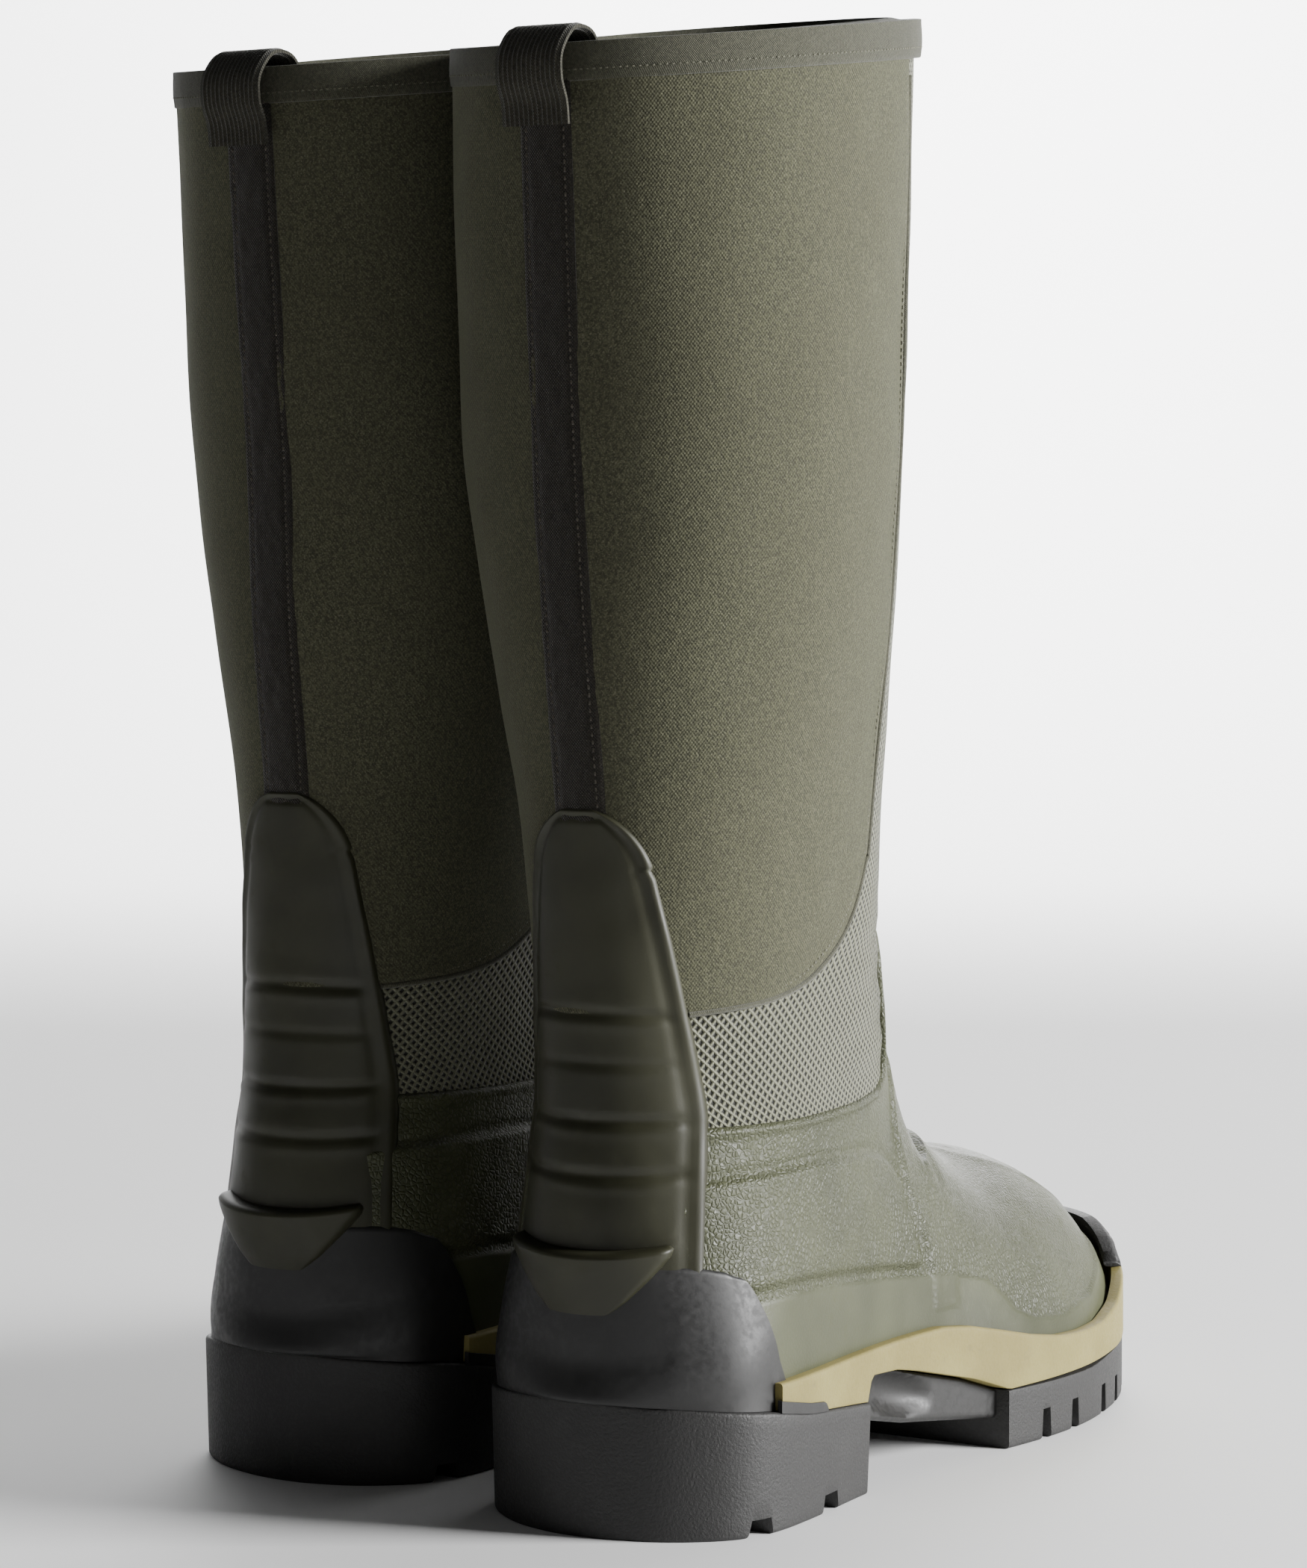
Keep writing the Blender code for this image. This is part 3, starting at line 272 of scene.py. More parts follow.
def skin(t, g, depth=0.0):
    """Points of the skin. g is 0 along the front, 1 at the rear or bottom by the outer side and -1 by
    the inner side."""
    t, g = np.broadcast_arrays(np.asarray(t, float), np.asarray(g, float))
    depths = np.broadcast_to(np.asarray(depth, float), t.shape)
    rear, front, row = side_view(t, depths)
    widest, p, q = row[..., 5], row[..., 6], row[..., 7]
    c = 1 - np.abs(g)
    y = np.cos(np.pi / 2 * np.clip(c / widest, 0, 1))
    x = np.sin(np.pi / 2 * np.clip((c - widest) / (1 - widest), 0, 1))
    share = np.where(c <= widest, widest * (1 - y), widest + (1 - widest) * x)
    point = rear + (front - rear) * share[..., None]

    plan = np.clip((t - FOOT_FROM[0]) / (FOOT_FROM[1] - FOOT_FROM[0]), 0, 1)
    plan = plan * plan * (3 - 2 * plan)
    half = np.maximum(row[..., 4] - depths, 1.0)
    low_outer, low_inner = upper_edges(rear[..., 0], float(depths.flat[0]))
    opened = np.where(t > HEEL_CORNER, np.clip((low_outer - low_inner) / 2 / half, 0, 0.98), 0.0)
    low_width = np.clip(1 - (1 - opened**p) * y**p, 0, 1) ** (1 / p)
    width = np.where(c <= widest, low_width, np.clip(1 - x**q, 0, 1) ** (1 / q))
    middle = row[..., 8] + (row[..., 9] - row[..., 8]) * share
    foot_middle, foot_half = foot_v(point, float(depths.flat[0]), q, row[..., 9])
    foot_half = np.where(t <= HEEL_CORNER, foot_half * np.clip(width * 1.6, 0, 1), foot_half)
    foot_half = np.where((c >= 1) | (t >= TOE_ROW), 0.0, foot_half)
    foot_middle = np.where(t >= TOE_ROW, row[..., 9], foot_middle)
    half_now = half * width * (1 - plan) + foot_half * plan
    v = middle * (1 - plan) + foot_middle * plan + np.sign(g) * half_now
    v = -pressed(-v, INNER_LIMIT - depths)
    return np.stack([point[..., 0], v, point[..., 1]], axis=-1)


def column(t, width):
    """The |g| at which the skin near the rear is this far from its middle."""
    row = smooth(STATIONS, t)
    p = row[..., 6]
    y = (1 - np.clip(np.asarray(width) / row[..., 4], 0, 1) ** p) ** (1 / p)
    return 1 - row[..., 5] * np.arccos(y) * 2 / np.pi


REAR_T = np.linspace(0, HEEL_CORNER, 400)
REAR = smooth(STATIONS, REAR_T)


def row_at(z):
    """The station number at which the rear of the skin is at height z."""
    return np.interp(-np.asarray(z, float), -REAR[:, 1], REAR_T)


def rear_u(z):
    """u of the rear of the skin at height z."""
    return float(np.interp(-z, -REAR[:, 1], REAR[:, 0]))


def locate(u, z):
    """(t, |g|) of the skin point seen at u, z in the side view."""
    t = np.linspace(0, TOE_ROW - 0.3, 900)
    rear, front, row = side_view(t, np.zeros(t.shape))
    chord = front - rear
    off = np.array([u, z]) - rear
    cross = chord[:, 0] * off[:, 1] - chord[:, 1] * off[:, 0]
    i = int(np.argmax((cross[:-1] >= 0) & (cross[1:] < 0) | (cross[:-1] < 0) & (cross[1:] >= 0)))
    f = cross[i] / (cross[i] - cross[i + 1])
    t0 = t[i] + f * (t[i + 1] - t[i])
    rear, front, row = side_view(np.array(t0), np.zeros(()))
    chord = front - rear
    share = float(np.clip(np.dot(np.array([u, z]) - rear, chord) / np.dot(chord, chord), 0, 1))
    w = float(row[5])
    if share <= w:
        c = w * math.acos(1 - share / w) * 2 / math.pi
    else:
        c = w + (1 - w) * math.asin((share - w) / (1 - w)) * 2 / math.pi
    return float(t0), 1 - c


# ---------------------------------------------------------------- grids


def world_of(side, points):
    """World coordinates, in metres, of points in the axes of one boot."""
    points = np.asarray(points, float)
    u, v, z = points[..., 0], points[..., 1], points[..., 2]
    if side == "right":
        x, y = RIGHT_X - v, RIGHT_Y - u
    else:
        c, s = math.cos(LEFT_TOE_IN), math.sin(LEFT_TOE_IN)
        x, y = LEFT_X + v * c - u * s, LEFT_Y - u * c - v * s
    return np.stack([x, y, z], axis=-1) * MM


def ramp(x, low, high):
    """A smooth step from 0 at low to 1 at high."""
    f = np.clip((np.asarray(x, float) - low) / (high - low), 0, 1)
    return f * f * (3 - 2 * f)


def bell(x, middle, width):
    """1 at the middle, falling away over the width."""
    return np.exp(-(((x - middle) / width) ** 2))


def round_edge(x):
    """A quarter circle that rises from 0 at 0 to 1 at 1."""
    return np.sqrt(np.clip(1 - (1 - np.clip(x, 0, 1)) ** 2, 0, 1))


def outward(grid):
    """Unit normals of a grid, rows down the boot and columns round it, turned away from its middle."""
    n = unit(np.cross(np.gradient(grid, axis=0), np.gradient(grid, axis=1)))
    middle = grid.reshape(-1, 3).mean(axis=0)
    return n if np.sum(n * (grid - middle)) > 0 else -n


def lengths(grid):
    """Distance along each row from its middle column, and down from the first row, in mm."""
    across = np.linalg.norm(np.diff(grid, axis=1), axis=2)
    s = np.concatenate([np.zeros((len(grid), 1)), np.cumsum(across, axis=1)], axis=1)
    s -= s[:, [s.shape[1] // 2]]
    down = np.linalg.norm(np.diff(grid, axis=0), axis=2)
    w = np.concatenate([np.zeros((1, grid.shape[1])), np.cumsum(down, axis=0)], axis=0)
    return np.stack([s, w], axis=-1)


class Shape:
    """Points, faces and surface lengths of one visible piece."""

    def __init__(self):
        self.points, self.faces, self.flat = [], [], []
        self.grain = None

    def grid(self, points, flat=None, closed=False, flip=False):
        """Adds a grid of faces and returns the numbers of its points."""
        rows, columns = points.shape[:2]
        first = len(self.points)
        flat = lengths(points) if flat is None else flat
        self.points.extend(points.reshape(-1, 3))
        self.flat.extend(flat.reshape(-1, 2))
        index = first + np.arange(rows * columns).reshape(rows, columns)
        right = np.roll(index, -1, axis=1)
        last = columns if closed else columns - 1
        quads = np.stack([index[:-1], right[:-1], right[1:], index[1:]], axis=-1)[:, :last].reshape(-1, 4)
        self.faces.extend((quads[:, ::-1] if flip else quads).tolist())
        return index

    def cap(self, index):
        """Closes both ends of a grid whose rows are loops."""
        self.faces.append([int(i) for i in index[0][::-1]])
        self.faces.append([int(i) for i in index[-1]])

    def box(self, corners):
        """A block through 8 corners: four below, then four above."""
        first = len(self.points)
        self.points.extend(np.asarray(corners, float))
        self.flat.extend([(0.0, 0.0)] * 8)
        for f in ((0, 3, 2, 1), (4, 5, 6, 7), (0, 1, 5, 4), (1, 2, 6, 5), (2, 3, 7, 6), (3, 0, 4, 7)):
            self.faces.append([first + i for i in f])

    def join(self, other):
        """Takes in another shape."""
        first = len(self.points)
        self.points.extend(other.points)
        self.flat.extend(other.flat)
        self.faces.extend([[first + i for i in face] for face in other.faces])

    def make(self, side, name, look, body=None, stands_for="", crease=50, cutter=False):
        """The object of this shape. stands_for names the CAD nodes that it replaces, with spaces between."""
        name = f"{side}_{name}"
        mesh = bpy.data.meshes.new(name)
        world = world_of(side, np.array(self.points))
        mesh.from_pydata(world.tolist(), [], self.faces)
        uv = mesh.uv_layers.new(name="flat")
        flat = np.array(self.flat)
        corner = np.zeros(len(mesh.loops), dtype=np.int32)
        mesh.loops.foreach_get("vertex_index", corner)
        uv.data.foreach_set("uv", (flat[corner] * MM).astype(np.float32).ravel())
        grain = mesh.attributes.new("grain", "FLOAT", "POINT")
        amount = np.zeros(len(mesh.vertices), dtype=np.float32)
        if self.grain is not None:
            amount[:len(self.grain)] = self.grain
        grain.data.foreach_set("value", amount)
        work = bmesh.new()
        work.from_mesh(mesh)
        bmesh.ops.remove_doubles(work, verts=work.verts, dist=MERGE * MM)
        bmesh.ops.dissolve_degenerate(work, edges=work.edges, dist=1e-6)
        bmesh.ops.recalc_face_normals(work, faces=work.faces)
        work.to_mesh(mesh)
        work.free()
        mesh.shade_smooth()
        mesh.set_sharp_from_angle(angle=math.radians(crease))
        mesh.materials.append(look)
        made = bpy.data.objects.new(name, mesh)
        bpy.context.scene.collection.objects.link(made)
        if body:
            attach(made, f"{side}_{body}")
        if stands_for:
            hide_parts(*[f"{side}_{node}" for node in stands_for.split()])
        return made


def thick(outer, inner, flat=None):
    """A sheet with a front and a back, joined round its rim."""
    shape = Shape()
    flat = lengths(outer) if flat is None else flat
    a = shape.grid(outer, flat)
    b = shape.grid(inner, flat, flip=True)
    edge = list(zip(a[0], b[0])) + list(zip(a[1:, -1], b[1:, -1]))
    edge += list(zip(a[-1, -2::-1], b[-1, -2::-1])) + list(zip(a[-2::-1, 0], b[-2::-1, 0]))
    for (p, q), (r, s) in zip(edge, edge[1:]):
        shape.faces.append([int(p), int(r), int(s), int(q)])
    return shape


def sheet(base, lift, under, n=None):
    """A piece laid on the skin: its outside stands out by lift, its back by under."""
    n = outward(base) if n is None else n
    return thick(base + n * lift[..., None], base + n * under, flat=lengths(base))


def rounded(rows, columns, reach):
    """A 0 to 1 field that falls off round the rim of a grid, like the edge of a moulded pad."""
    i = np.minimum(np.arange(rows), np.arange(rows)[::-1])[:, None]
    j = np.minimum(np.arange(columns), np.arange(columns)[::-1])[None, :]
    return round_edge(i / reach) * round_edge(j / reach)


def tube(shape, path, radius, sides):
    """A round bead along a path."""
    path = np.asarray(path, float)
    along = unit(np.gradient(path, axis=0))
    side_way = unit(np.cross(along, np.array([0.0, 0.0, 1.0]) + along[:, [1, 2, 0]] * 1e-3))
    over = np.cross(side_way, along)
    a = np.linspace(0, 2 * np.pi, sides, endpoint=False)[None, :, None]
    ring = path[:, None] + radius * (np.cos(a) * side_way[:, None] + np.sin(a) * over[:, None])
    shape.cap(shape.grid(ring, closed=True))


def near(points, line):
    """Distance in the side view to an open (u, z) line."""
    line = np.asarray(line, float)
    a, edge = line[:-1], np.diff(line, axis=0)
    p = points[..., None, :]
    along = np.clip(np.sum((p - a) * edge, -1) / np.sum(edge * edge, -1), 0, 1)
    return np.linalg.norm(p - a - along[..., None] * edge, axis=-1).min(-1)


def inside(points, outline):
    """Signed distance in the side view to a closed (u, z) outline, positive inside."""
    a = np.asarray(outline, float)
    b = np.roll(a, -1, axis=0)
    u, z = points[..., None, 0], points[..., None, 1]
    with np.errstate(divide="ignore", invalid="ignore"):
        cross = (b[:, 0] - a[:, 0]) * (z - a[:, 1]) / (b[:, 1] - a[:, 1]) + a[:, 0]
    hits = np.sum(((a[:, 1] > z) != (b[:, 1] > z)) & (u < cross), axis=-1) % 2
    gap = near(points, np.vstack([a, a[:1]]))
    return np.where(hits == 1, gap, -gap)


def fine(points, count=40):
    """A smooth curve through the points."""
    return smooth(points, np.linspace(0, len(points) - 1, count))


def waves(grid, seed, size):
    """A smooth, repeatable field of folds over a grid, about -1 to 1."""
    made = np.random.default_rng(seed)
    field = np.zeros(grid.shape[:-1])
    count = 9
    for _ in range(count):
        k = made.normal(size=3) / size
        field += np.sin(grid @ k * 2 * np.pi + made.uniform(0, 6.28))
    return field / np.sqrt(count * 0.5) * 0.5


# ---------------------------------------------------------------- looks


class Look:
    """A procedural material built on one Principled shader. Surface lengths are the uv map, in metres."""

    def __init__(self, name):
        self.material = bpy.data.materials.new(name)
        self.material.use_nodes = True
        self.tree = self.material.node_tree
        self.shader = self.tree.nodes["Principled BSDF"]
        self.object = self.add("TexCoord").outputs["Object"]
        self.flat = self.add("UVMap", uv_map="flat").outputs["UV"]

    def add(self, kind, *values, **settings):
        """A new node with its first inputs and its settings."""
        node = self.tree.nodes.new("ShaderNode" + kind)
        for key, value in settings.items():
            setattr(node, key, value)
        for socket, value in zip(node.inputs, values):
            self.put(socket, value)
        return node

    def put(self, socket, value):
        """Links a socket or sets a value."""
        if isinstance(value, bpy.types.NodeSocket):
            self.tree.links.new(value, socket)
        elif isinstance(value, tuple) and len(value) == 3 and socket.type == "RGBA":
            socket.default_value = (*value, 1.0)
        else:
            socket.default_value = value

    def math(self, operation, a, b=0.0):
        """A maths node."""
        return self.add("Math", a, b, operation=operation).outputs[0]

    def noise(self, size_mm, detail=3.0, roughness=0.55):
        """Cloudy noise, 0 to 1."""
        node = self.add("TexNoise", self.object)
        for key, value in (("Scale", 1000.0 / size_mm), ("Detail", detail), ("Roughness", roughness)):
            node.inputs[key].default_value = value
        return node.outputs["Fac"]

    def cells(self, size_mm, feature):
        """Distance in a pattern of cells."""
        node = self.add("TexVoronoi", self.object, feature=feature)
        node.inputs["Scale"].default_value = 1000.0 / size_mm
        return node.outputs["Distance"]

    def spread(self, value, low, high, new_low=0.0, new_high=1.0):
        """A value stretched smoothly from one range to another."""
        return self.add(
            "MapRange", value, low, high, new_low, new_high, interpolation_type="SMOOTHSTEP",
        ).outputs[0]

    def mix(self, factor, a, b):
        """A blend of two colours."""
        node = self.add("Mix", factor, data_type="RGBA")
        self.put(node.inputs[6], a)
        self.put(node.inputs[7], b)
        return node.outputs[2]

    def field(self, name):
        """A value stored on the points of the mesh."""
        return self.add("Attribute", attribute_name=name).outputs["Fac"]

    def along(self, axis):
        """Surface length across the piece, 0, or down it, 1."""
        return self.add("SeparateXYZ", self.flat).outputs[axis]

    def stripes(self, value, pitch_mm):
        """A cosine along a length, -1 to 1."""
        return self.math("COSINE", self.math("MULTIPLY", value, 2 * math.pi * 1000.0 / pitch_mm))

    def finish(self, colour, roughness, bumps, sheen=0.0, specular=0.5, sheen_tint=(1.0, 1.0, 1.0)):
        """Sets the shader. bumps are (height, strength, depth in mm), each laid over the one before."""
        normal = None
        for value, strength, depth_mm in bumps:
            node = self.add("Bump")
            for key, x in (("Strength", strength), ("Distance", depth_mm * MM), ("Height", value)):
                self.put(node.inputs[key], x)
            if normal is not None:
                self.put(node.inputs["Normal"], normal)
            normal = node.outputs["Normal"]
        for key, x in (
            ("Base Color", colour), ("Roughness", roughness), ("Specular IOR Level", specular),
            ("Sheen Weight", sheen), ("Sheen Roughness", 0.5), ("Sheen Tint", sheen_tint), ("Normal", normal),
        ):
            self.put(self.shader.inputs[key], x)
        return self.material


def neoprene_knit():
    """Heathered knit over neoprene: olive with pale specks."""
    look = Look("neoprene_knit")
    heather = look.noise(0.9, 2.0)
    speck = look.noise(0.45, 1.0)
    broad = look.noise(38.0, 3.0)
    dark, light = (0.032, 0.032, 0.018), (0.072, 0.073, 0.043)
    colour = look.mix(look.spread(heather, 0.34, 0.68), dark, light)
    colour = look.mix(look.spread(speck, 0.52, 0.72, 0.0, 0.45), colour, (0.150, 0.148, 0.098))
    colour = look.mix(look.spread(broad, 0.3, 0.7, 0.0, 0.22), colour, (0.050, 0.047, 0.028))
    knit = look.math("MULTIPLY", look.stripes(look.along(0), 0.95), look.stripes(look.along(1), 1.25))
    return look.finish(
        colour, look.spread(heather, 0.3, 0.7, 0.78, 0.95), ((knit, 0.30, 0.25), (heather, 0.45, 0.35)),
        sheen=0.22, specular=0.25, sheen_tint=(0.85, 0.86, 0.66),
    )


def woven_cloth():
    """Open diagonal weave with dark gaps between its strands."""
    look = Look("woven_cloth")
    s, w = look.along(0), look.along(1)
    rise = look.stripes(look.math("ADD", s, w), 2.9)
    fall = look.stripes(look.math("SUBTRACT", s, w), 2.9)
    strands = look.math("MAXIMUM", rise, look.math("MULTIPLY", fall, 0.8))
    open_part = look.spread(strands, -0.25, 0.45)
    yarn = look.noise(0.5, 2.0)
    colour = look.mix(look.spread(yarn, 0.3, 0.7), (0.120, 0.122, 0.078), (0.190, 0.192, 0.128))
    colour = look.mix(open_part, (0.012, 0.012, 0.008), colour)
    return look.finish(
        colour, look.spread(open_part, 0.0, 1.0, 0.95, 0.55), ((strands, 0.9, 0.5), (yarn, 0.25, 0.2)),
        sheen=0.2, specular=0.35,
    )


def moulded_rubber(name, dark, light, grain_depth, base_rough=0.42, grain_size=1.7):
    """Olive rubber, pebbled where the grain attribute is high, with painted shade in the pits and faint
    scuffs.
    """
    look = Look(name)
    grain = look.field("grain")
    pores = look.cells(grain_size, "DISTANCE_TO_EDGE")
    pebble = look.spread(pores, 0.0, 0.28)
    small = look.noise(0.8, 2.0)
    broad = look.noise(30.0, 3.0)
    scuff = look.spread(look.noise(7.0, 5.0), 0.56, 0.74)
    colour = look.mix(look.spread(broad, 0.3, 0.7), dark, light)
    # Painted shade: the colour is darkened in the grooves between the pebbles, where the grain is high.
    shade = look.math("MULTIPLY", grain, look.math("SUBTRACT", 1.0, pebble))
    colour = look.mix(look.math("MULTIPLY", shade, 0.35), colour, tuple(0.45 * c for c in dark))
    colour = look.mix(look.math("MULTIPLY", scuff, 0.14), colour, tuple(min(1.0, 1.6 * c) for c in light))
    rough = look.spread(broad, 0.2, 0.8, base_rough - 0.06, base_rough + 0.08)
    rough = look.math("ADD", rough, look.math("MULTIPLY", scuff, 0.12))
    rise = look.math("MULTIPLY", look.math("ADD", pebble, look.math("MULTIPLY", small, 0.6)), grain)
    return look.finish(colour, rough, ((rise, 0.55, grain_depth), (small, 0.10, 0.15)), specular=0.38)


def outsole_rubber(name, colour, rough, pebble_mm, depth_mm):
    """Dark rubber with fine pebbles, their raised points painted lighter as a painted highlight, and dust."""
    look = Look(name)
    pebble = look.noise(pebble_mm, 2.0, roughness=0.6)
    dust = look.spread(look.noise(16.0, 4.0), 0.45, 0.75)
    shade = look.mix(look.math("MULTIPLY", dust, 0.35), colour, tuple(1.6 * c for c in colour))
    # Painted highlight: the raised points of the pebbles are painted lighter.
    shade = look.mix(look.spread(pebble, 0.5, 0.7, 0.0, 0.3), shade, tuple(2.0 * c for c in colour))
    roughness = look.spread(pebble, 0.3, 0.7, rough - 0.08, rough + 0.08)
    return look.finish(shade, roughness, ((pebble, 0.7, depth_mm),))


def midsole_rubber():
    """Tan rubber with stipple and some grime."""
    look = Look("midsole_rubber")
    stipple = look.noise(1.1, 3.0)
    broad = look.noise(26.0, 4.0)
    colour = look.mix(look.spread(broad, 0.3, 0.7), (0.215, 0.180, 0.058), (0.265, 0.226, 0.078))
    grime = look.spread(look.noise(5.0, 5.0), 0.58, 0.76, 0.0, 0.35)
    colour = look.mix(grime, colour, (0.150, 0.125, 0.055))
    roughness = look.spread(stipple, 0.3, 0.7, 0.55, 0.7)
    return look.finish(colour, roughness, ((stipple, 0.45, 0.3),), specular=0.35)


def cloth(name, dark, light, pitch_mm, rough=0.9, sheen=0.3, fuzz_mm=0.7):
    """Woven tape or thread with fuzz, and painted shade in the hollows of the weave."""
    look = Look(name)
    fuzz = look.noise(fuzz_mm, 3.0)
    s, w = look.along(0), look.along(1)
    weave = look.math("MULTIPLY", look.stripes(s, pitch_mm), look.stripes(w, pitch_mm * 1.2))
    colour = look.mix(look.spread(fuzz, 0.32, 0.68), dark, light)
    # Painted shade: the hollows of the weave, where the bump is low, are darkened.
    colour = look.mix(look.spread(weave, -0.6, 0.8, 0.30, 0.0), colour, tuple(0.35 * c for c in dark))
    return look.finish(colour, rough, ((weave, 0.5, 0.3), (fuzz, 0.5, 0.3)), sheen=sheen, specular=0.2)


NEOPRENE_KNIT = neoprene_knit()
WOVEN_CLOTH = woven_cloth()
RUBBER_OLIVE = moulded_rubber(
    "rubber_olive_look", (0.048, 0.052, 0.025), (0.070, 0.075, 0.038), 0.34, 0.44, 1.5,
)
RUBBER_DARK_OLIVE = moulded_rubber(
    "rubber_dark_olive_look", (0.022, 0.022, 0.011), (0.034, 0.034, 0.018), 0.2, 0.46,
)
RUBBER_CHARCOAL = outsole_rubber("rubber_charcoal_look", (0.012, 0.0118, 0.0115), 0.50, 2.2, 0.05)
RUBBER_BLACK = outsole_rubber("outsole_look", (0.018, 0.0175, 0.017), 0.60, 0.85, 0.30)
MIDSOLE_TAN = midsole_rubber()
BINDING_CLOTH = cloth("binding_look", (0.042, 0.042, 0.026), (0.080, 0.080, 0.052), 0.6, 0.7, 0.2)
PIPING = cloth("piping_look", (0.060, 0.060, 0.038), (0.105, 0.104, 0.070), 0.5, 0.6, 0.2)
THREAD = cloth("thread_look", (0.075, 0.074, 0.050), (0.150, 0.148, 0.105), 0.4, 0.6, 0.2)
THREAD_DARK = cloth("dark_thread_look", (0.045, 0.038, 0.028), (0.085, 0.074, 0.056), 0.4, 0.65, 0.2)
TAPE_CLOTH = cloth("rear_tape_look", (0.012, 0.0105, 0.0075), (0.032, 0.028, 0.020), 0.8, 0.95, 0.3, 0.55)
WEBBING = cloth("webbing_look", (0.020, 0.019, 0.012), (0.045, 0.042, 0.028), 0.7, 0.85, 0.25)
FLEECE = cloth("lining_look", (0.012, 0.011, 0.009), (0.032, 0.030, 0.025), 0.9, 0.95, 0.4, 1.2)
FOOTBED_CLOTH = cloth("footbed_look", (0.050, 0.050, 0.048), (0.110, 0.110, 0.105), 0.9, 0.9, 0.3)


# ---------------------------------------------------------------- upper


# The neoprene's lower edge, as (u, z), and the rubber's top edge, as (|g|, z).
BORDER = (
    (90, 185), (87.5, 178), (83, 169.5), (76, 162), (68, 156.5), (59, 152), (49, 149), (38, 147.2),
    (20, 145.5),
)
TONGUE = (
    (0.0, 176.0), (0.06, 174.5), (0.12, 169.0), (0.18, 160.0), (0.23, 149.0), (0.27, 136.0), (0.30, 124.0),
    (0.33, 117.5), (0.37, 114.8), (0.45, 113.4), (0.6, 113.0), (0.8, 113.6), (1.0, 114.7),
)


def collar_t(g):
    """Station number, in each column g, at which the skin is at the height of the rubber's top edge."""
    t = np.linspace(4.5, 8.6, 500)
    z = skin(t[:, None], g)[..., 2]
    target = height(TONGUE, np.abs(g))
    return np.array([np.interp(-h, -z[:, j], t) for j, h in enumerate(target)])


BORDER_TG = np.array([locate(u, z) for u, z in fine(BORDER)])


def neoprene_low(g):
    """Station number of the neoprene's lower edge."""
    order = np.argsort(BORDER_TG[:, 1])
    t = np.interp(np.abs(g), BORDER_TG[order, 1], BORDER_TG[order, 0])
    return np.maximum(t, BORDER_TG[0, 0])


def flex_folds(grid, amount):
    """Soft creases round the ankle, deepest at the front."""
    u, z = grid[..., 0], grid[..., 2]
    front = ramp(u, 60, 130)
    line = z - 0.12 * (u - 60)
    folds = np.sin((line - 118) / 13.0 * 2 * np.pi) * ramp(line, 105, 120) * ramp(-line, -175, -150)
    return amount * folds * (0.25 + 0.75 * front)


def textile(side):
    """The woven layer: all round the ankle and up the front of the shaft."""
    g = np.linspace(-1, 1, 161)
    f = np.linspace(0, 1, 150)[:, None]
    base = skin(0.05 * (1 - f) + (collar_t(g) + 0.12) * f, g)
    n = outward(base)
    lift = flex_folds(base, 0.35) + 0.25 * waves(base, 5, 60.0)
    outer = base + n * (lift - 0.2)[..., None]
    shape = thick(outer, outer - n * 1.2, flat=lengths(base))
    return shape.make(side, "woven_layer", WOVEN_CLOTH, stands_for="ankle_panel shin_panel")


def neoprene(side):
    """The knitted neoprene shaft, laid over the woven layer and rounded off at its front edge."""
    shape = Shape()
    rows, columns = 110, 70
    f = np.linspace(0, 1, rows)[:, None]
    g = SHIN_EDGE + (1 - SHIN_EDGE) * np.linspace(0, 1, columns) ** 1.15
    edge = round_edge(np.arange(columns) / 2.0)
    low = round_edge(np.arange(rows)[::-1] / 2.0)[:, None]
    for sign in (1, -1):
        base = skin(0.045 * (1 - f) + neoprene_low(g) * f, sign * g)
        n = outward(base)
        if np.sum(n[:, 30] * away_from(base[:, 30], 62.0, 2.0)) < 0:
            n = -n
        swell = 0.55 * waves(base, 11, 75.0) + 0.25 * waves(base, 12, 34.0)
        lift = (0.45 + 0.9 * np.minimum(edge, low)) + swell * 0.5 * edge * low
        shape.join(sheet(base, lift, -0.1, n))
    return shape.make(side, "neoprene_shaft", NEOPRENE_KNIT, stands_for="shaft")


def border_line(sign):
    """The neoprene's front and lower edge, from the rim down the front and back to the spine."""
    down = np.linspace(0.25, BORDER_TG[0, 0], 110)
    t = np.concatenate([down, BORDER_TG[1:, 0]])
    g = np.concatenate([np.full(len(down), SHIN_EDGE), np.maximum(BORDER_TG[1:, 1], SHIN_EDGE)])
    return skin(t, sign * g), t, g


def border_piping(side):
    """The raised cord along the neoprene's edge."""
    shape = Shape()
    for sign in (1, -1):
        line = border_line(sign)[0]
        tube(shape, line + away_from(line, 66.0, 2.0) * 0.9, 0.85, 8)
    return shape.make(side, "border_piping", PIPING)


def border_stitches(side):
    """A row of stitches just behind the piping."""
    shape = Shape()
    for sign in (1, -1):
        t, g = border_line(sign)[1:]
        inner = skin(t, sign * np.minimum(g + 0.018, 1))
        inner[-len(BORDER_TG):, 2] += 2.2
        add_stitches(shape, inner[:-6], 2.0, 1.25, 1.5)
    return shape.make(side, "border_stitches", THREAD, crease=180)


def add_stitches(shape, line, pitch, length, proud):
    """Short raised stitches along a line on the upper, each narrower at its top."""
    step = np.concatenate([[0], np.cumsum(np.linalg.norm(np.diff(line, axis=0), axis=1))])
    for s in np.arange(pitch / 2, step[-1], pitch):
        reach = s - length / 2, s + length / 2
        start, end = [np.array([np.interp(x, step, line[:, k]) for k in range(3)]) for x in reach]
        middle = (start + end) / 2
        along = unit(end - start)
        away = away_from(middle, 64.0, 2.0)
        across = np.cross(along, away)
        corners = []
        for rise, narrow in ((proud - 0.5, 1.0), (proud + 0.15, 0.55)):
            for a, c in ((-1, -1), (1, -1), (1, 1), (-1, 1)):
                corners.append(middle + (along * a * length / 2 + across * c * 0.28) * narrow + away * rise)
        shape.box(corners)


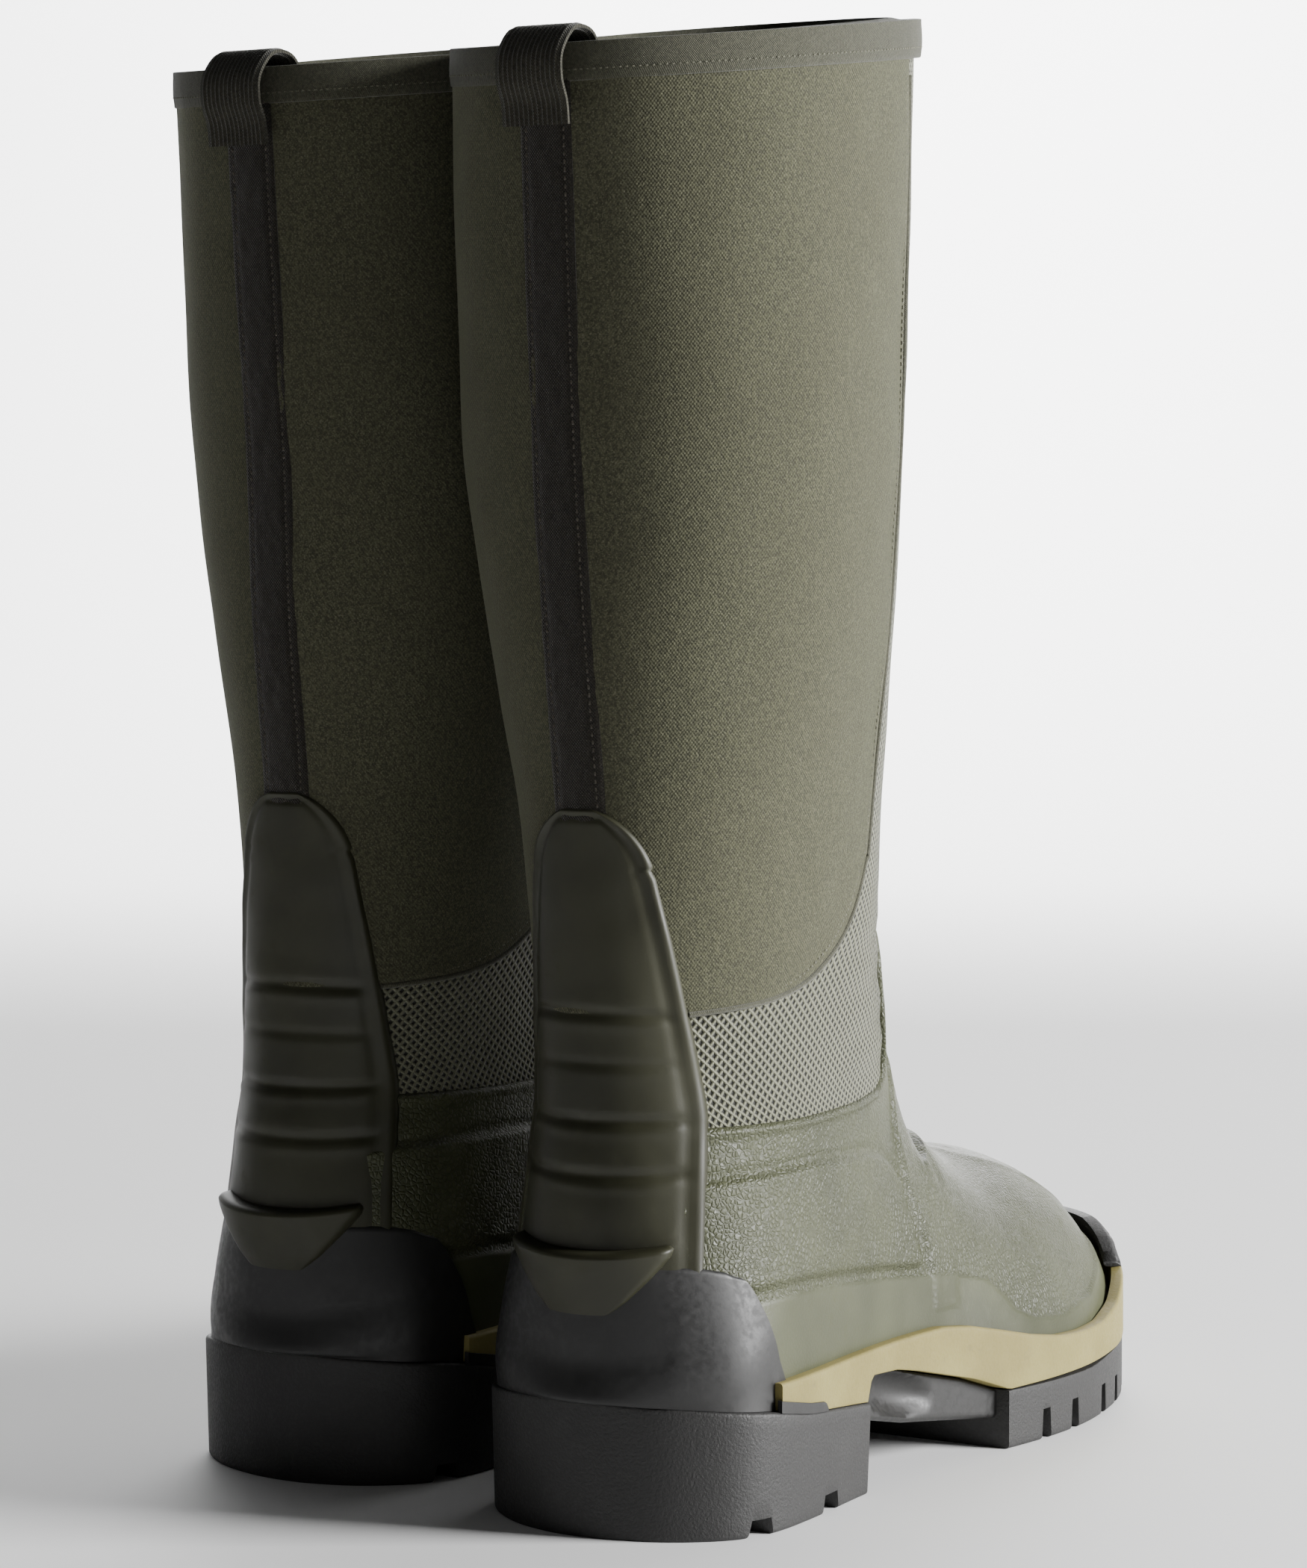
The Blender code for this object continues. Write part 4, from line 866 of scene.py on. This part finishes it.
def lining(side):
    """The dark inside, from the rim to the toe."""
    g = np.linspace(-1, 1, 81)
    t = np.concatenate([np.linspace(a, b, 40) for a, b in ((0.05, 5), (5.15, 11.0), (11.2, TOE_ROW))])
    inner, outer = skin(t[:, None], g, 6.2), skin(t[:, None], g, 5.2)
    inner = inner - outward(inner) * (0.25 * waves(inner, 21, 30.0))[..., None]
    nodes = "shaft_lining ankle_sleeve foot_bootie"
    return thick(inner, outer).make(side, "inner_lining", FLEECE, stands_for=nodes)


# ---------------------------------------------------------------- rubber foot


# Outlines of the raised parts of the moulded foot and its line over the toe, as (u, z).
QUARTER_LINE = (
    (10, 98.5), (24, 99), (33.5, 99.4), (48, 99.8), (66, 100), (89, 98.5), (104, 97.3), (116, 94.5),
    (124, 90.5), (128.2, 84.5), (128.8, 77), (130.2, 68), (131.5, 61.5), (128, 59.8), (110, 61.8),
    (79, 65.2), (49, 67.4), (10, 66.5),
)
STRAP_LINE = (
    (134.0, 45), (135.8, 58), (134.6, 68), (132.8, 78), (132.5, 86), (134.5, 104), (142, 122), (152, 136),
    (172, 120), (160, 98), (154.5, 82), (152.5, 70), (151.3, 57), (148.5, 45),
)
RAND_LINE = (
    (28, 64.6), (49, 65.0), (79, 62.9), (110, 59.4), (132, 57.3), (149, 55.0), (166, 51.4), (173, 46.4),
    (179, 40.4), (189, 36.4), (206, 34.8), (233, 36.8), (255, 42.5), (272, 49.0), (290, 54.0), (300, 54.0),
    (300, 20), (28, 20),
)
TOE_LINE = ((168, 104), (185, 92), (210, 82), (240, 72), (262, 60), (276, 50))


def foot_lift(base):
    """How far each part of the moulded foot stands out of the skin, in mm."""
    side_points = base[..., [0, 2]]
    u, v, z = base[..., 0], base[..., 1], base[..., 2]
    quarter = ramp(inside(side_points, fine(QUARTER_LINE, 90)), -0.6, 2.2)
    strap = ramp(inside(side_points, fine(STRAP_LINE, 90)), -0.5, 1.3)
    rand = ramp(inside(side_points, np.array(RAND_LINE)), -0.4, 0.7)
    lift = np.maximum(np.maximum(1.7 * quarter, 1.35 * strap), 0.95 * rand)
    crease = near(side_points, fine(QUARTER_LINE, 90)[:60])
    lift -= 0.45 * bell(crease, 1.2, 1.1) * (1 - quarter) * (1 - strap)
    toe = near(side_points, fine(TOE_LINE))
    lift += 0.4 * bell(toe, 0.0, 1.0) * ramp(u, 160, 180)
    lift += 0.22 * waves(base, 31, 34.0) * (1 - rand) * ramp(u, 100, 150) * (1 - 0.6 * ramp(u, 225, 260))
    lift += 0.05 * waves(base, 32, 14.0) * (1 - rand)
    for k, (depth, where) in enumerate(((0.8, 150.0), (0.65, 164.0), (0.4, 178.0))):
        line = u - 0.55 * (z - 95) - where + 2.0 * np.sin(v / 11.0 + k)
        lift -= depth * bell(line, 0.0, 3.0) * ramp(z, 70, 96) * (1 - 0.5 * strap)
    return lift


def rubber_foot(side):
    """The moulded rubber foot. Its grain is full over the foot and faint on the smooth rand."""
    g = np.linspace(-1, 1, 241)
    f = np.linspace(0, 1, 105)[:, None] ** 1.1
    upper = collar_t(g) * (1 - f) + HEEL_CORNER * f
    stretches = (11.04, 12, 14), (12.06, 20.6, 150), (20.7, TOE_ROW - 0.02, 30)
    lower = np.concatenate([np.linspace(*stretch) for stretch in stretches])
    t = np.vstack([upper, np.repeat(lower[:, None], len(g), axis=1)])
    base = skin(t, g)
    n, flat = outward(base), lengths(base)
    drop = flat[..., 1]
    lift = (foot_lift(base) + 0.35 + 0.9 * bell(drop, 1.6, 1.5)) * round_edge(drop / 1.6)
    inner = base - n * 1.6
    inner[:4] = base[:4] - n[:4] * 0.4
    shape = Shape()
    a = shape.grid(base + n * lift[..., None], flat)
    b = shape.grid(inner[:24], flat[:24], flip=True)
    rand = ramp(inside(base[..., [0, 2]], np.array(RAND_LINE)), -0.4, 0.7)
    shape.grain = (1 - 0.92 * rand).ravel()
    for p, q, r, s in zip(a[0][:-1], a[0][1:], b[0][1:], b[0][:-1]):
        shape.faces.append([int(p), int(s), int(r), int(q)])
    nodes = "rubber_foot instep_strap side_rand quarter_outer quarter_inner"
    return shape.make(side, "moulded_foot", RUBBER_OLIVE, stands_for=nodes)


# ---------------------------------------------------------------- heel pieces


def rear_grid(z, half, columns):
    """Grid on the back of the skin, given heights and half widths in mm."""
    f = np.linspace(-1, 1, columns)
    t = row_at(z)
    g = np.where(f < 0, -1, 1) * column(t[:, None], np.abs(f) * half[:, None])
    return skin(t[:, None], g)


# Half width of the rear strip at each height, as (z, half width).
SPINE_SHAPE = (
    (62.0, 30.5), (80.0, 29.5), (114.0, 27.5), (139.0, 25.0), (165.0, 22.0), (183.0, 19.5), (196.0, 14.5),
    (201.0, 9.0), (203.0, 4.0),
)


def rear_spine(side):
    """The ribbed rubber strip up the back."""
    z = np.concatenate([203.4 - 9 * np.linspace(0, 1, 26) ** 2, np.linspace(193.4, 62, 150)])
    half = height(SPINE_SHAPE, z)
    half = np.where(z > 186, 20.0 * np.clip(1 - np.clip((z - 176) / 27.6, 0, 1) ** 2.4, 0, 1) ** 0.5, half)
    columns = 71
    base = rear_grid(z, np.maximum(half, 0.6), columns)
    f = np.linspace(-1, 1, columns)[None, :]
    from_edge = np.minimum((1 - np.abs(f)) * half[:, None], (203.6 - z)[:, None] * 1.2)
    body = 2.3 * round_edge(from_edge / 3.0)
    rim = 0.55 * bell(from_edge, 1.5, 0.9)
    furrow = -0.45 * bell(from_edge, 4.0, 1.2)
    bars = np.zeros_like(from_edge)
    for where, deep in ((146.0, 0.9), (132.0, 0.35), (116.0, 0.9), (101.0, 0.9)):
        bow = z[:, None] - where + 2.0 * f**2
        bars -= deep * (bell(bow, 0.0, 1.5) - 0.25 * bell(bow, -3.2, 1.6)) * ramp(from_edge, 2.5, 7.0)
    lift = body + rim + furrow * ramp(from_edge, 1.0, 3.0) + bars + 0.25 * waves(base, 41, 30.0)
    nodes = "rear_spine_upper rear_spine_lower"
    return sheet(base, lift, -0.4).make(side, "rear_spine", RUBBER_DARK_OLIVE, stands_for=nodes)


# Top edge of the heel cup, as (u, z), and its front edge, as (-z, u).
COUNTER_TOP = ((0.0, 76.8), (12.0, 76.7), (18.0, 76.0), (23.0, 74.6), (26.5, 72.6))
COUNTER_FRONT = (
    (-72.6, 26.5), (-71.0, 28.6), (-68.0, 30.2), (-60.0, 33.6), (-49.5, 37.4), (-42.0, 42.6), (-38.0, 45.2),
    (-30.0, 46.0),
)


def heel_counter(side):
    """The heel cup. Round the middle of its back, each row is a parabola between two columns."""
    rows, half_columns, near_middle = 60, 60, 12
    tg = np.zeros((rows, half_columns, 2))
    for i, down in enumerate(np.linspace(0, 1, rows)):
        for j, s in enumerate(np.sin(np.linspace(0, 1, half_columns) * np.pi / 2) ** 1.4):
            z_top = height(COUNTER_TOP, 3.0 + (26.5 - 3.0) * s)
            z = z_top + (39.3 - z_top) * down
            back, front = rear_u(z), height(COUNTER_FRONT, -z)
            tg[i, j] = locate(back + (front - back) * s + 1e-3, z)
    t = np.concatenate([tg[:, ::-1, 0], tg[:, 1:, 0]], axis=1)
    g = np.concatenate([-tg[:, ::-1, 1], tg[:, 1:, 1]], axis=1)
    base = skin(t, g)
    first, last = half_columns - 1 - near_middle, half_columns - 1 + near_middle
    f = np.linspace(-1, 1, 2 * near_middle + 1)[:, None]
    for row in base:
        chord = row[first] * (1 - f) / 2 + row[last] * (1 + f) / 2
        chord[:, 0] -= (chord[:, 0] - rear_u(row[last, 2])) * (1 - f[:, 0] ** 2)
        row[first:last + 1] = chord
    n = outward(base) * np.array([1.0, 1.0, 0.0])
    for _ in range(12):
        n[:, 1:-1] = (n[:, :-2] + 2 * n[:, 1:-1] + n[:, 2:]) / 4
        n[1:-1] = (n[:-2] + 2 * n[1:-1] + n[2:]) / 4
    n = unit(n)
    field = rounded(rows, base.shape[1], 3)
    field[-6:] = field[-7]
    outer = base + n * (0.7 + 2.0 * field)[..., None]
    seat = height(HEEL_TOP, outer[..., 0]) + 0.1
    down = np.linspace(0, 1, rows)[:, None] ** 6
    outer[..., 2] = outer[..., 2] * (1 - down) + np.minimum(seat, outer[..., 2]) * down
    shape = thick(outer, base - n * 0.2, flat=lengths(base))
    shape.make(side, "heel_cup", RUBBER_CHARCOAL, "foot", "heel_counter")


def kick_spur(side):
    """The ledge used to push the boot off: flat and proud on top, running out below."""
    z = np.linspace(80.5, 62.5, 40)
    half = np.interp(z, [62.5, 66, 72, 77, 79, 80.5], [10.5, 14.5, 19.5, 23.0, 23.4, 22.6])
    columns = 61
    base = rear_grid(z, half, columns)
    f = np.linspace(-1, 1, columns)[None, :]
    out = np.interp(z, [62.5, 66, 72, 77, 78.6, 79.8, 80.5], [2.9, 4.2, 6.0, 7.5, 7.9, 7.0, 3.0])[:, None]
    ends = np.sqrt(np.clip(1 - np.clip((np.abs(f) - 0.86) / 0.14, 0, 1) ** 2, 0, 1))
    lift = 2.2 + (out - 2.2) * ends * (1 - 0.28 * f**2)
    sheet(base, lift, -0.2).make(side, "kick_ledge", RUBBER_DARK_OLIVE, "foot", "kick_spur")


# ---------------------------------------------------------------- rim, tape and loop


def back_tape(side):
    """The tape over the seam up the back, with a row of stitches beside each edge."""
    z = np.linspace(410.0, 179.0, 200)
    columns = 21
    base = rear_grid(z, np.full(len(z), TAPE_HALF), columns)
    f = np.linspace(-1, 1, columns)[None, :]
    seam = bell(np.abs(f), 0.74, 0.08)
    lift = 1.35 + 0.6 * np.sqrt(np.clip(1 - np.abs(f) ** 6, 0, 1)) - 0.35 * seam
    lift = lift + 0.12 * waves(base, 51, 9.0)
    sheet(base, lift, 0.6).make(side, "rear_tape", TAPE_CLOTH, "shaft", "back_tape")
    shape = Shape()
    t = row_at(z[3:-3])
    for way in (-1, 1):
        add_stitches(shape, skin(t, way * column(t, TAPE_HALF * 0.74)), 2.2, 1.4, 1.85)
    shape.make(side, "tape_stitches", THREAD_DARK, "shaft", crease=180)


def binding_profile():
    """(station, depth) round the folded tape, from its outer lower edge over the rim to the inner edge."""
    outer = [(0.172 - 0.152 * f, -1.7 - 0.25 * math.sin(f * math.pi)) for f in np.linspace(0, 1, 9)]
    a = np.linspace(0, np.pi, 15)[1:-1]
    top = [(0.012 - 0.045 * math.sin(x), 2.9 - 4.7 * math.cos(x)) for x in a]
    inner = [(t, 7.5) for t in np.linspace(0.02, 0.172, 7)]
    return [(0.176, -0.9), (0.176, -1.4)] + outer + top + inner + [(0.176, 7.2), (0.176, 6.4)]


def top_binding(side):
    """The folded tape round the rim, slightly puckered, with its stitches."""
    g = np.linspace(-1, 1, 181)[:-1]
    profile = binding_profile()
    grid = np.array([skin(t, g, d) for t, d in profile])
    puckers = 0.10 * np.cos(np.arange(len(g)) / len(g) * 2 * np.pi * 60)
    puckers = puckers * bell(np.arange(len(profile))[:, None], 5, 2.5)
    grid = grid + away_from(grid, 62.0, 1.5) * puckers[..., None]
    shape = Shape()
    shape.grid(grid, closed=True)
    shape.make(side, "rim_binding", BINDING_CLOTH, "shaft", "top_binding")
    seam = Shape()
    add_stitches(seam, skin(0.128, np.linspace(-1, 1, 721)), 1.75, 1.15, 2.0)
    seam.make(side, "rim_stitches", THREAD, "shaft", crease=180)


def pull_loop(side):
    """Ribbed webbing that arches over the rear rim."""
    path = smooth(LOOP_PATH, np.linspace(0, len(LOOP_PATH) - 1, 60))
    path[:, 1] -= 1.4
    normal = unit(np.stack([-np.gradient(path[:, 1]), np.gradient(path[:, 0])], axis=1))
    columns = 43
    f = np.linspace(-1, 1, columns)
    rib = 0.22 * np.cos(f * LOOP_HALF / 1.5 * 2 * np.pi)
    edge = 0.5 * np.clip((np.abs(f) - 0.93) / 0.07, 0, 1) ** 2
    v = STATIONS[0][8] + f * LOOP_HALF
    sheets = []
    for way, offset in ((1, 0.0), (-1, LOOP_THICK)):
        depth = way * (rib - edge) - offset
        u, z = (path[:, [k]] + normal[:, [k]] * depth for k in (0, 1))
        sheets.append(np.stack([u, np.broadcast_to(v, u.shape), z], axis=-1))
    thick(*sheets).make(side, "pull_tab", WEBBING, "shaft", "pull_loop")


# ---------------------------------------------------------------- sole


def spaced(low, high, count, rear=False, front=False):
    """Stations along the sole, closer together where its outline turns."""
    f = np.linspace(0, 1, count)
    if front:
        f = np.sin(f * np.pi / 2) * 0.75 + 0.25 * f
    if rear:
        f = 1 - (np.sin((1 - f) * np.pi / 2) * 0.75 + 0.25 * (1 - f))
    return low + (high - low) * f


def sole_body(u, across):
    """A solid swept along u. across gives the loop of (v, z) points at a station."""
    shape = Shape()
    grid = np.array([[(a, v, z) for v, z in across(a)] for a in u])
    shape.cap(shape.grid(grid, closed=True))
    return shape


def side_wall(v, way, low, high, low_round, high_round, lean=0.0):
    """Points up one wall with rounded lower and upper edges. way is 1 on the outer side."""
    points, turn = [], np.linspace(0, np.pi / 2, 5)
    for a in turn:
        points.append((v - way * low_round * (1 - math.sin(a)), low + low_round * (1 - math.cos(a))))
    for f in np.linspace(0.1, 0.9, 5):
        points.append((v + way * lean * f, low + low_round + (high - high_round - low - low_round) * f))
    for a in turn:
        out = lean - high_round * (1 - math.cos(a))
        points.append((v + way * out, high - high_round * (1 - math.sin(a))))
    return points


def block(u, low, high, inset, lean, low_round, high_round, scoop=None):
    """A layer of the sole between two heights, with both walls inset from the outline."""
    def across(a):
        outer, inner = edges(a, inset)
        widest_round = max(outer - inner, 0.5) * 0.2
        rounds = min(low_round, widest_round), min(high_round, widest_round)
        walls = []
        for v, way in ((outer, 1), (inner, -1)):
            wall = side_wall(v, way, low(a), high(a), *rounds, lean)
            walls.append([(x - way * scoop(a, z), z) for x, z in wall] if scoop else wall)
        return walls[0] + walls[1][::-1]

    return sole_body(u, across)


def cut_out(target, cutters):
    """Cuts each cutter out of the target for good."""
    for cutter in cutters:
        change = target.modifiers.new("cut", "BOOLEAN")
        change.operation, change.solver, change.object = "DIFFERENCE", "EXACT", cutter
    soften = target.modifiers.new("soften", "BEVEL")
    soften.width, soften.segments = 0.35 * MM, 2
    soften.limit_method, soften.angle_limit = "ANGLE", math.radians(45)
    done = bpy.data.meshes.new_from_object(target.evaluated_get(bpy.context.evaluated_depsgraph_get()))
    target.modifiers.clear()
    target.data = done
    done.shade_smooth()
    done.set_sharp_from_angle(angle=math.radians(38))
    for cutter in cutters:
        bpy.data.objects.remove(cutter)


def wedge(shape, u, wide, narrow, a, b, low, high):
    """A block from a to b across the sole, wider at its foot than at its top."""
    corners = []
    for half, z in ((wide / 2, low), (narrow / 2, high)):
        corners += [(u + x * half, v, z) for x, v in ((-1, a), (1, a), (1, b), (-1, b))]
    shape.box(corners)


def slot_cutter(side, shapes, floor_line, channel):
    """Wedges that open through both walls, with a shallow channel across the ground face between them."""
    walls, across = Shape(), Shape()
    for u, wide, narrow, tall, deep in shapes:
        outer, inner = edges(u, 0.0)
        floor = height(floor_line, u)
        for edge, way in ((outer, 1), (inner, -1)):
            a, b = sorted((edge - way * deep, edge + way * 8))
            wedge(walls, u, wide, narrow, a, b, floor - 4, floor + tall)
        a, b = inner + deep - 1.0, outer - deep + 1.0
        wedge(across, u, wide / 1.1, narrow / 1.1, a, b, floor - 4, floor + channel)
    return [
        walls.make(side, "cutter", RUBBER_BLACK, cutter=True),
        across.make(side, "cutter_across", RUBBER_BLACK, cutter=True),
    ]


def heel_block(side):
    """The heel of the outsole, with its slots."""
    u = np.concatenate([spaced(0.25, 44, 34, rear=True), np.linspace(46, 87.0, 16), [87.6, 88.0]])
    shape = block(u, lambda a: 0.0, lambda a: height(HEEL_TOP, a), 0.0, 1.0, 1.3, 1.2)
    made = shape.make(side, "heel_lug", RUBBER_BLACK, "foot", "heel_block")
    cut_out(made, slot_cutter(side, HEEL_SLOTS, ((0, 0.0), (300, 0.0)), 3.0))


def forefoot_tread(side):
    """The tread under the forefoot, with its slots."""
    front = spaced(240, 299.75, 46, front=True)
    u = np.concatenate([[TREAD_REAR, TREAD_REAR + 0.6], np.linspace(168, 236, 22), front])
    shape = block(u, lambda a: height(TREAD_UNDER, a), lambda a: height(TREAD_TOP, a), 0.0, 0.0, 1.3, 0.4)
    made = shape.make(side, "forefoot_lug", RUBBER_BLACK, "foot", "forefoot_tread")
    cut_out(made, slot_cutter(side, TREAD_SLOTS, TREAD_UNDER, 4.0))


def arch_bridge(side):
    """The arch piece, hollowed in both walls."""
    def scoop(a, z):
        middle = (height(BRIDGE_TOP, a) + height(BRIDGE_UNDER, a)) / 2 + 0.6
        r = ((a - 113) / 21.0) ** 2 + ((z - middle) / 6.6) ** 2
        return 4.5 * max(0.0, 1 - r) ** 0.8

    u = np.linspace(HEEL_FRONT - 0.2, TREAD_REAR + 0.2, 60)
    low, high = (lambda a: height(BRIDGE_UNDER, a)), (lambda a: height(BRIDGE_TOP, a) - 0.3)
    shape = block(u, low, high, 4.4, 0.0, 1.6, 1.0, scoop)
    shape.make(side, "arch_piece", RUBBER_CHARCOAL, "foot", "arch_bridge")


def midsole(side):
    """The tan midsole cup, the seat under the heel cup and the dark strip beside it."""
    def across(a):
        outer, inner = edges(a, -0.35)
        under = height(HEEL_FLOOR if a < HEEL_FRONT else BRIDGE_TOP, a)
        if a > 163:
            under = max(under, height(TREAD_TOP, a))
        under += 0.15
        rim, floor = float(height(MIDSOLE_RIM, a)) + 0.3, float(height(MIDSOLE_FLOOR, a))
        gap = max(outer - inner, 0.8)
        wall = min(4.4, gap * 0.24)
        r = min(1.1, gap * 0.1)
        lean = -0.5 * bell(a, 285, 20.0)
        right = side_wall(outer, 1, under, rim, 0.4, r, lean)
        left = side_wall(inner, -1, under, rim, 0.4, r, lean)
        cup = [(outer - wall, rim - 0.2), (outer - wall - 0.4, floor)]
        cup += [(inner + wall + 0.4, floor), (inner + wall, rim - 0.2)]
        return right + cup + left[::-1]

    u = np.concatenate([np.linspace(CUP_START, 236, 96), spaced(238, 300.1, 52, front=True)])
    shape = sole_body(u, across)
    shape.make(side, "midsole_cup", MIDSOLE_TAN, "foot", "midsole insole_board")
    seat = block(spaced(4.5, 40, 14, rear=True), lambda a: 31.6, lambda a: 38.2, 3.4, 0.0, 0.3, 0.3)
    seat.make(side, "heel_seat", RUBBER_CHARCOAL, "foot")
    strip = Shape()
    a = np.linspace(33.5, 60.0, 24)
    low = height(HEEL_TOP, a) - 0.2
    high = low + np.interp(a, [33.5, 58.5, 60.0], [3.4, 2.8, 0.8])
    for way, v in zip((1, -1), edges(a, -0.9)):
        back = v - way * 1.4
        corners = (a, back, low), (a, v, low), (a, v, high), (a, back, high + 0.2)
        rows = np.stack([np.stack(corner, axis=-1) for corner in corners], axis=1)
        strip.cap(strip.grid(rows, closed=True))
    strip.make(side, "heel_strip", RUBBER_CHARCOAL, "foot")


def toe_bumper(side):
    """The dark rand that wraps the toe, notched along its edge."""
    outer, inner = edge_curve(OUTER_EDGE, 0.0), edge_curve(INNER_EDGE, 0.0)
    ring = np.vstack([inner[inner[:, 0] > BUMPER_BACK + 14], outer[outer[:, 0] > BUMPER_BACK][::-1]])
    span = np.concatenate([[0], np.cumsum(np.linalg.norm(np.diff(ring, axis=0), axis=1))])
    f = np.linspace(-1, 1, 221)
    at = (f + 1) / 2 * span[-1]
    line = np.stack([np.interp(at, span, ring[:, 0]), np.interp(at, span, ring[:, 1])], axis=1)
    along = unit(np.gradient(line, axis=0))
    inward = np.stack([-along[:, 1], along[:, 0]], axis=1)
    inward *= np.sign(np.sum(inward * (np.array([BUMPER_BACK, -5.0]) - line), axis=1))[:, None]
    low = height(MIDSOLE_RIM, line[:, 0]) + 0.1
    rise = BUMPER_RISE * np.clip(1.12 - 1.12 * np.abs(f) ** 3, 0.12, 1)
    notch = 1.3 * ramp(np.cos(at / 6.4 * 2 * np.pi), 0.35, 0.9)
    loops = []
    for p, n, z, h, cut in zip(line, inward, low, rise, notch):
        section = (
            (0.1, 0.0), (0.1, 0.12 * h), (0.4 + cut, 0.3 * h), (0.9 + cut, 0.62 * h),
            (1.3 + 0.18 * h, 0.9 * h), (1.9 + 0.26 * h, h), (4.2 + 0.42 * h, 0.98 * h),
            (5.6 + 0.2 * h, 0.5 * h), (5.0, 0.0),
        )
        loops.append([(*(p + n * d), z + up) for d, up in section])
    shape = Shape()
    shape.cap(shape.grid(np.array(loops), closed=True))
    shape.make(side, "toe_rand", RUBBER_BLACK, "foot", "toe_bumper")


def footbed(side):
    """The loose footbed, cupped at the heel."""
    def across(a):
        outer, inner = edges(a, 16.5)
        low = float(height(FOOTBED_UNDER, a))
        half, middle = (outer - inner) / 2, (outer + inner) / 2
        f = np.linspace(-1, 1, 25)
        cup = 2.2 * np.abs(f) ** 3 * ramp(-a, -120, -40)
        top = [(middle + half * x, low + 3.9 * (1 - 0.5 * abs(x) ** 12) + c) for x, c in zip(f, cup)]
        under = [(middle + half * x * 0.985, low) for x in f[::-1][1:-1]]
        return top + under

    shape = sole_body(spaced(18.0, 272.0, 70), across)
    shape.make(side, "insole", FOOTBED_CLOTH, "footbed", "footbed")


# ---------------------------------------------------------------- the pair


def bend_at_ankle(made):
    """Bakes the piece's placement into its mesh."""
    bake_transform(made)


BENDING = (textile, neoprene, border_piping, border_stitches, lining, rubber_foot, rear_spine)
STIFF = (
    heel_counter, kick_spur, back_tape, top_binding, pull_loop, heel_block, forefoot_tread, arch_bridge,
    midsole, toe_bumper, footbed,
)


def build(side):
    """One boot. The pieces listed in BENDING are built first, each with its placement baked into its mesh."""
    for piece in BENDING:
        bend_at_ankle(piece(side))
    for piece in STIFF:
        piece(side)


def plain_look(name, colour, rough):
    """A smooth look for the studio."""
    material = bpy.data.materials.new(name)
    material.use_nodes = True
    shader = material.node_tree.nodes["Principled BSDF"]
    shader.inputs["Base Color"].default_value = (*colour, 1.0)
    shader.inputs["Roughness"].default_value = rough
    return material


def studio():
    """A pale sweep, soft lights and the camera."""
    along, away = np.array([0.857, 0.515]), np.array([0.515, -0.857])
    bend = np.linspace(0, np.pi / 2, 25)
    arc = [(1.9 + 1.5 * math.sin(a), 1.5 - 1.5 * math.cos(a)) for a in bend]
    profile = [(-25.0, 0.0), (-4.0, 0.0)] + arc + [(3.4, 4.5)]
    points = [(*(along * s + away * q), z) for q, z in profile for s in (-25.0, 25.0)]
    faces = [(2 * i, 2 * i + 1, 2 * i + 3, 2 * i + 2) for i in range(len(profile) - 1)]
    sweep = bpy.data.meshes.new("sweep")
    sweep.from_pydata(points, [], faces)
    sweep.shade_smooth()
    sweep.materials.append(plain_look("pale_floor", (0.90, 0.90, 0.90), 0.7))
    ground = bpy.data.objects.new("sweep", sweep)
    bpy.context.scene.collection.objects.link(ground)

    world = bpy.data.worlds.new("studio")
    world.use_nodes = True
    world.node_tree.nodes["Background"].inputs["Color"].default_value = (1.0, 1.0, 1.0, 1.0)
    world.node_tree.nodes["Background"].inputs["Strength"].default_value = 0.06
    bpy.context.scene.world = world

    for name, place, aim, size, power in (
        ("key", (-2.25, -0.80, 0.85), (-0.05, 0.0, 0.22), 0.9, 185),
        ("front", (-0.6, -2.3, 1.9), (0.0, 0.0, 0.15), 1.2, 8),
        ("wall", (0.9, -1.9, 1.9), (1.9, -3.4, 0.9), 1.6, 230),
    ):
        lamp = bpy.data.lights.new(name, "AREA")
        lamp.shape, lamp.size, lamp.energy = "SQUARE", size, power
        holder = bpy.data.objects.new(name, lamp)
        holder.location = place
        holder.rotation_euler = (Vector(aim) - Vector(place)).to_track_quat("-Z", "Y").to_euler()
        bpy.context.scene.collection.objects.link(holder)

    camera = bpy.data.cameras.new("camera")
    camera.sensor_fit, camera.sensor_height, camera.lens = "VERTICAL", 36.0, 103.6
    holder = bpy.data.objects.new("camera", camera)
    holder.location = ((RIGHT_X - 669.2) * MM, (RIGHT_Y + 1045.4) * MM, 0.2906)
    holder.rotation_euler = (math.radians(86.27), 0.0, math.radians(211.5))
    bpy.context.scene.collection.objects.link(holder)
    bpy.context.scene.camera = holder


for boot in ("right", "left"):
    build(boot)
studio()

bpy.context.view_layer.update()
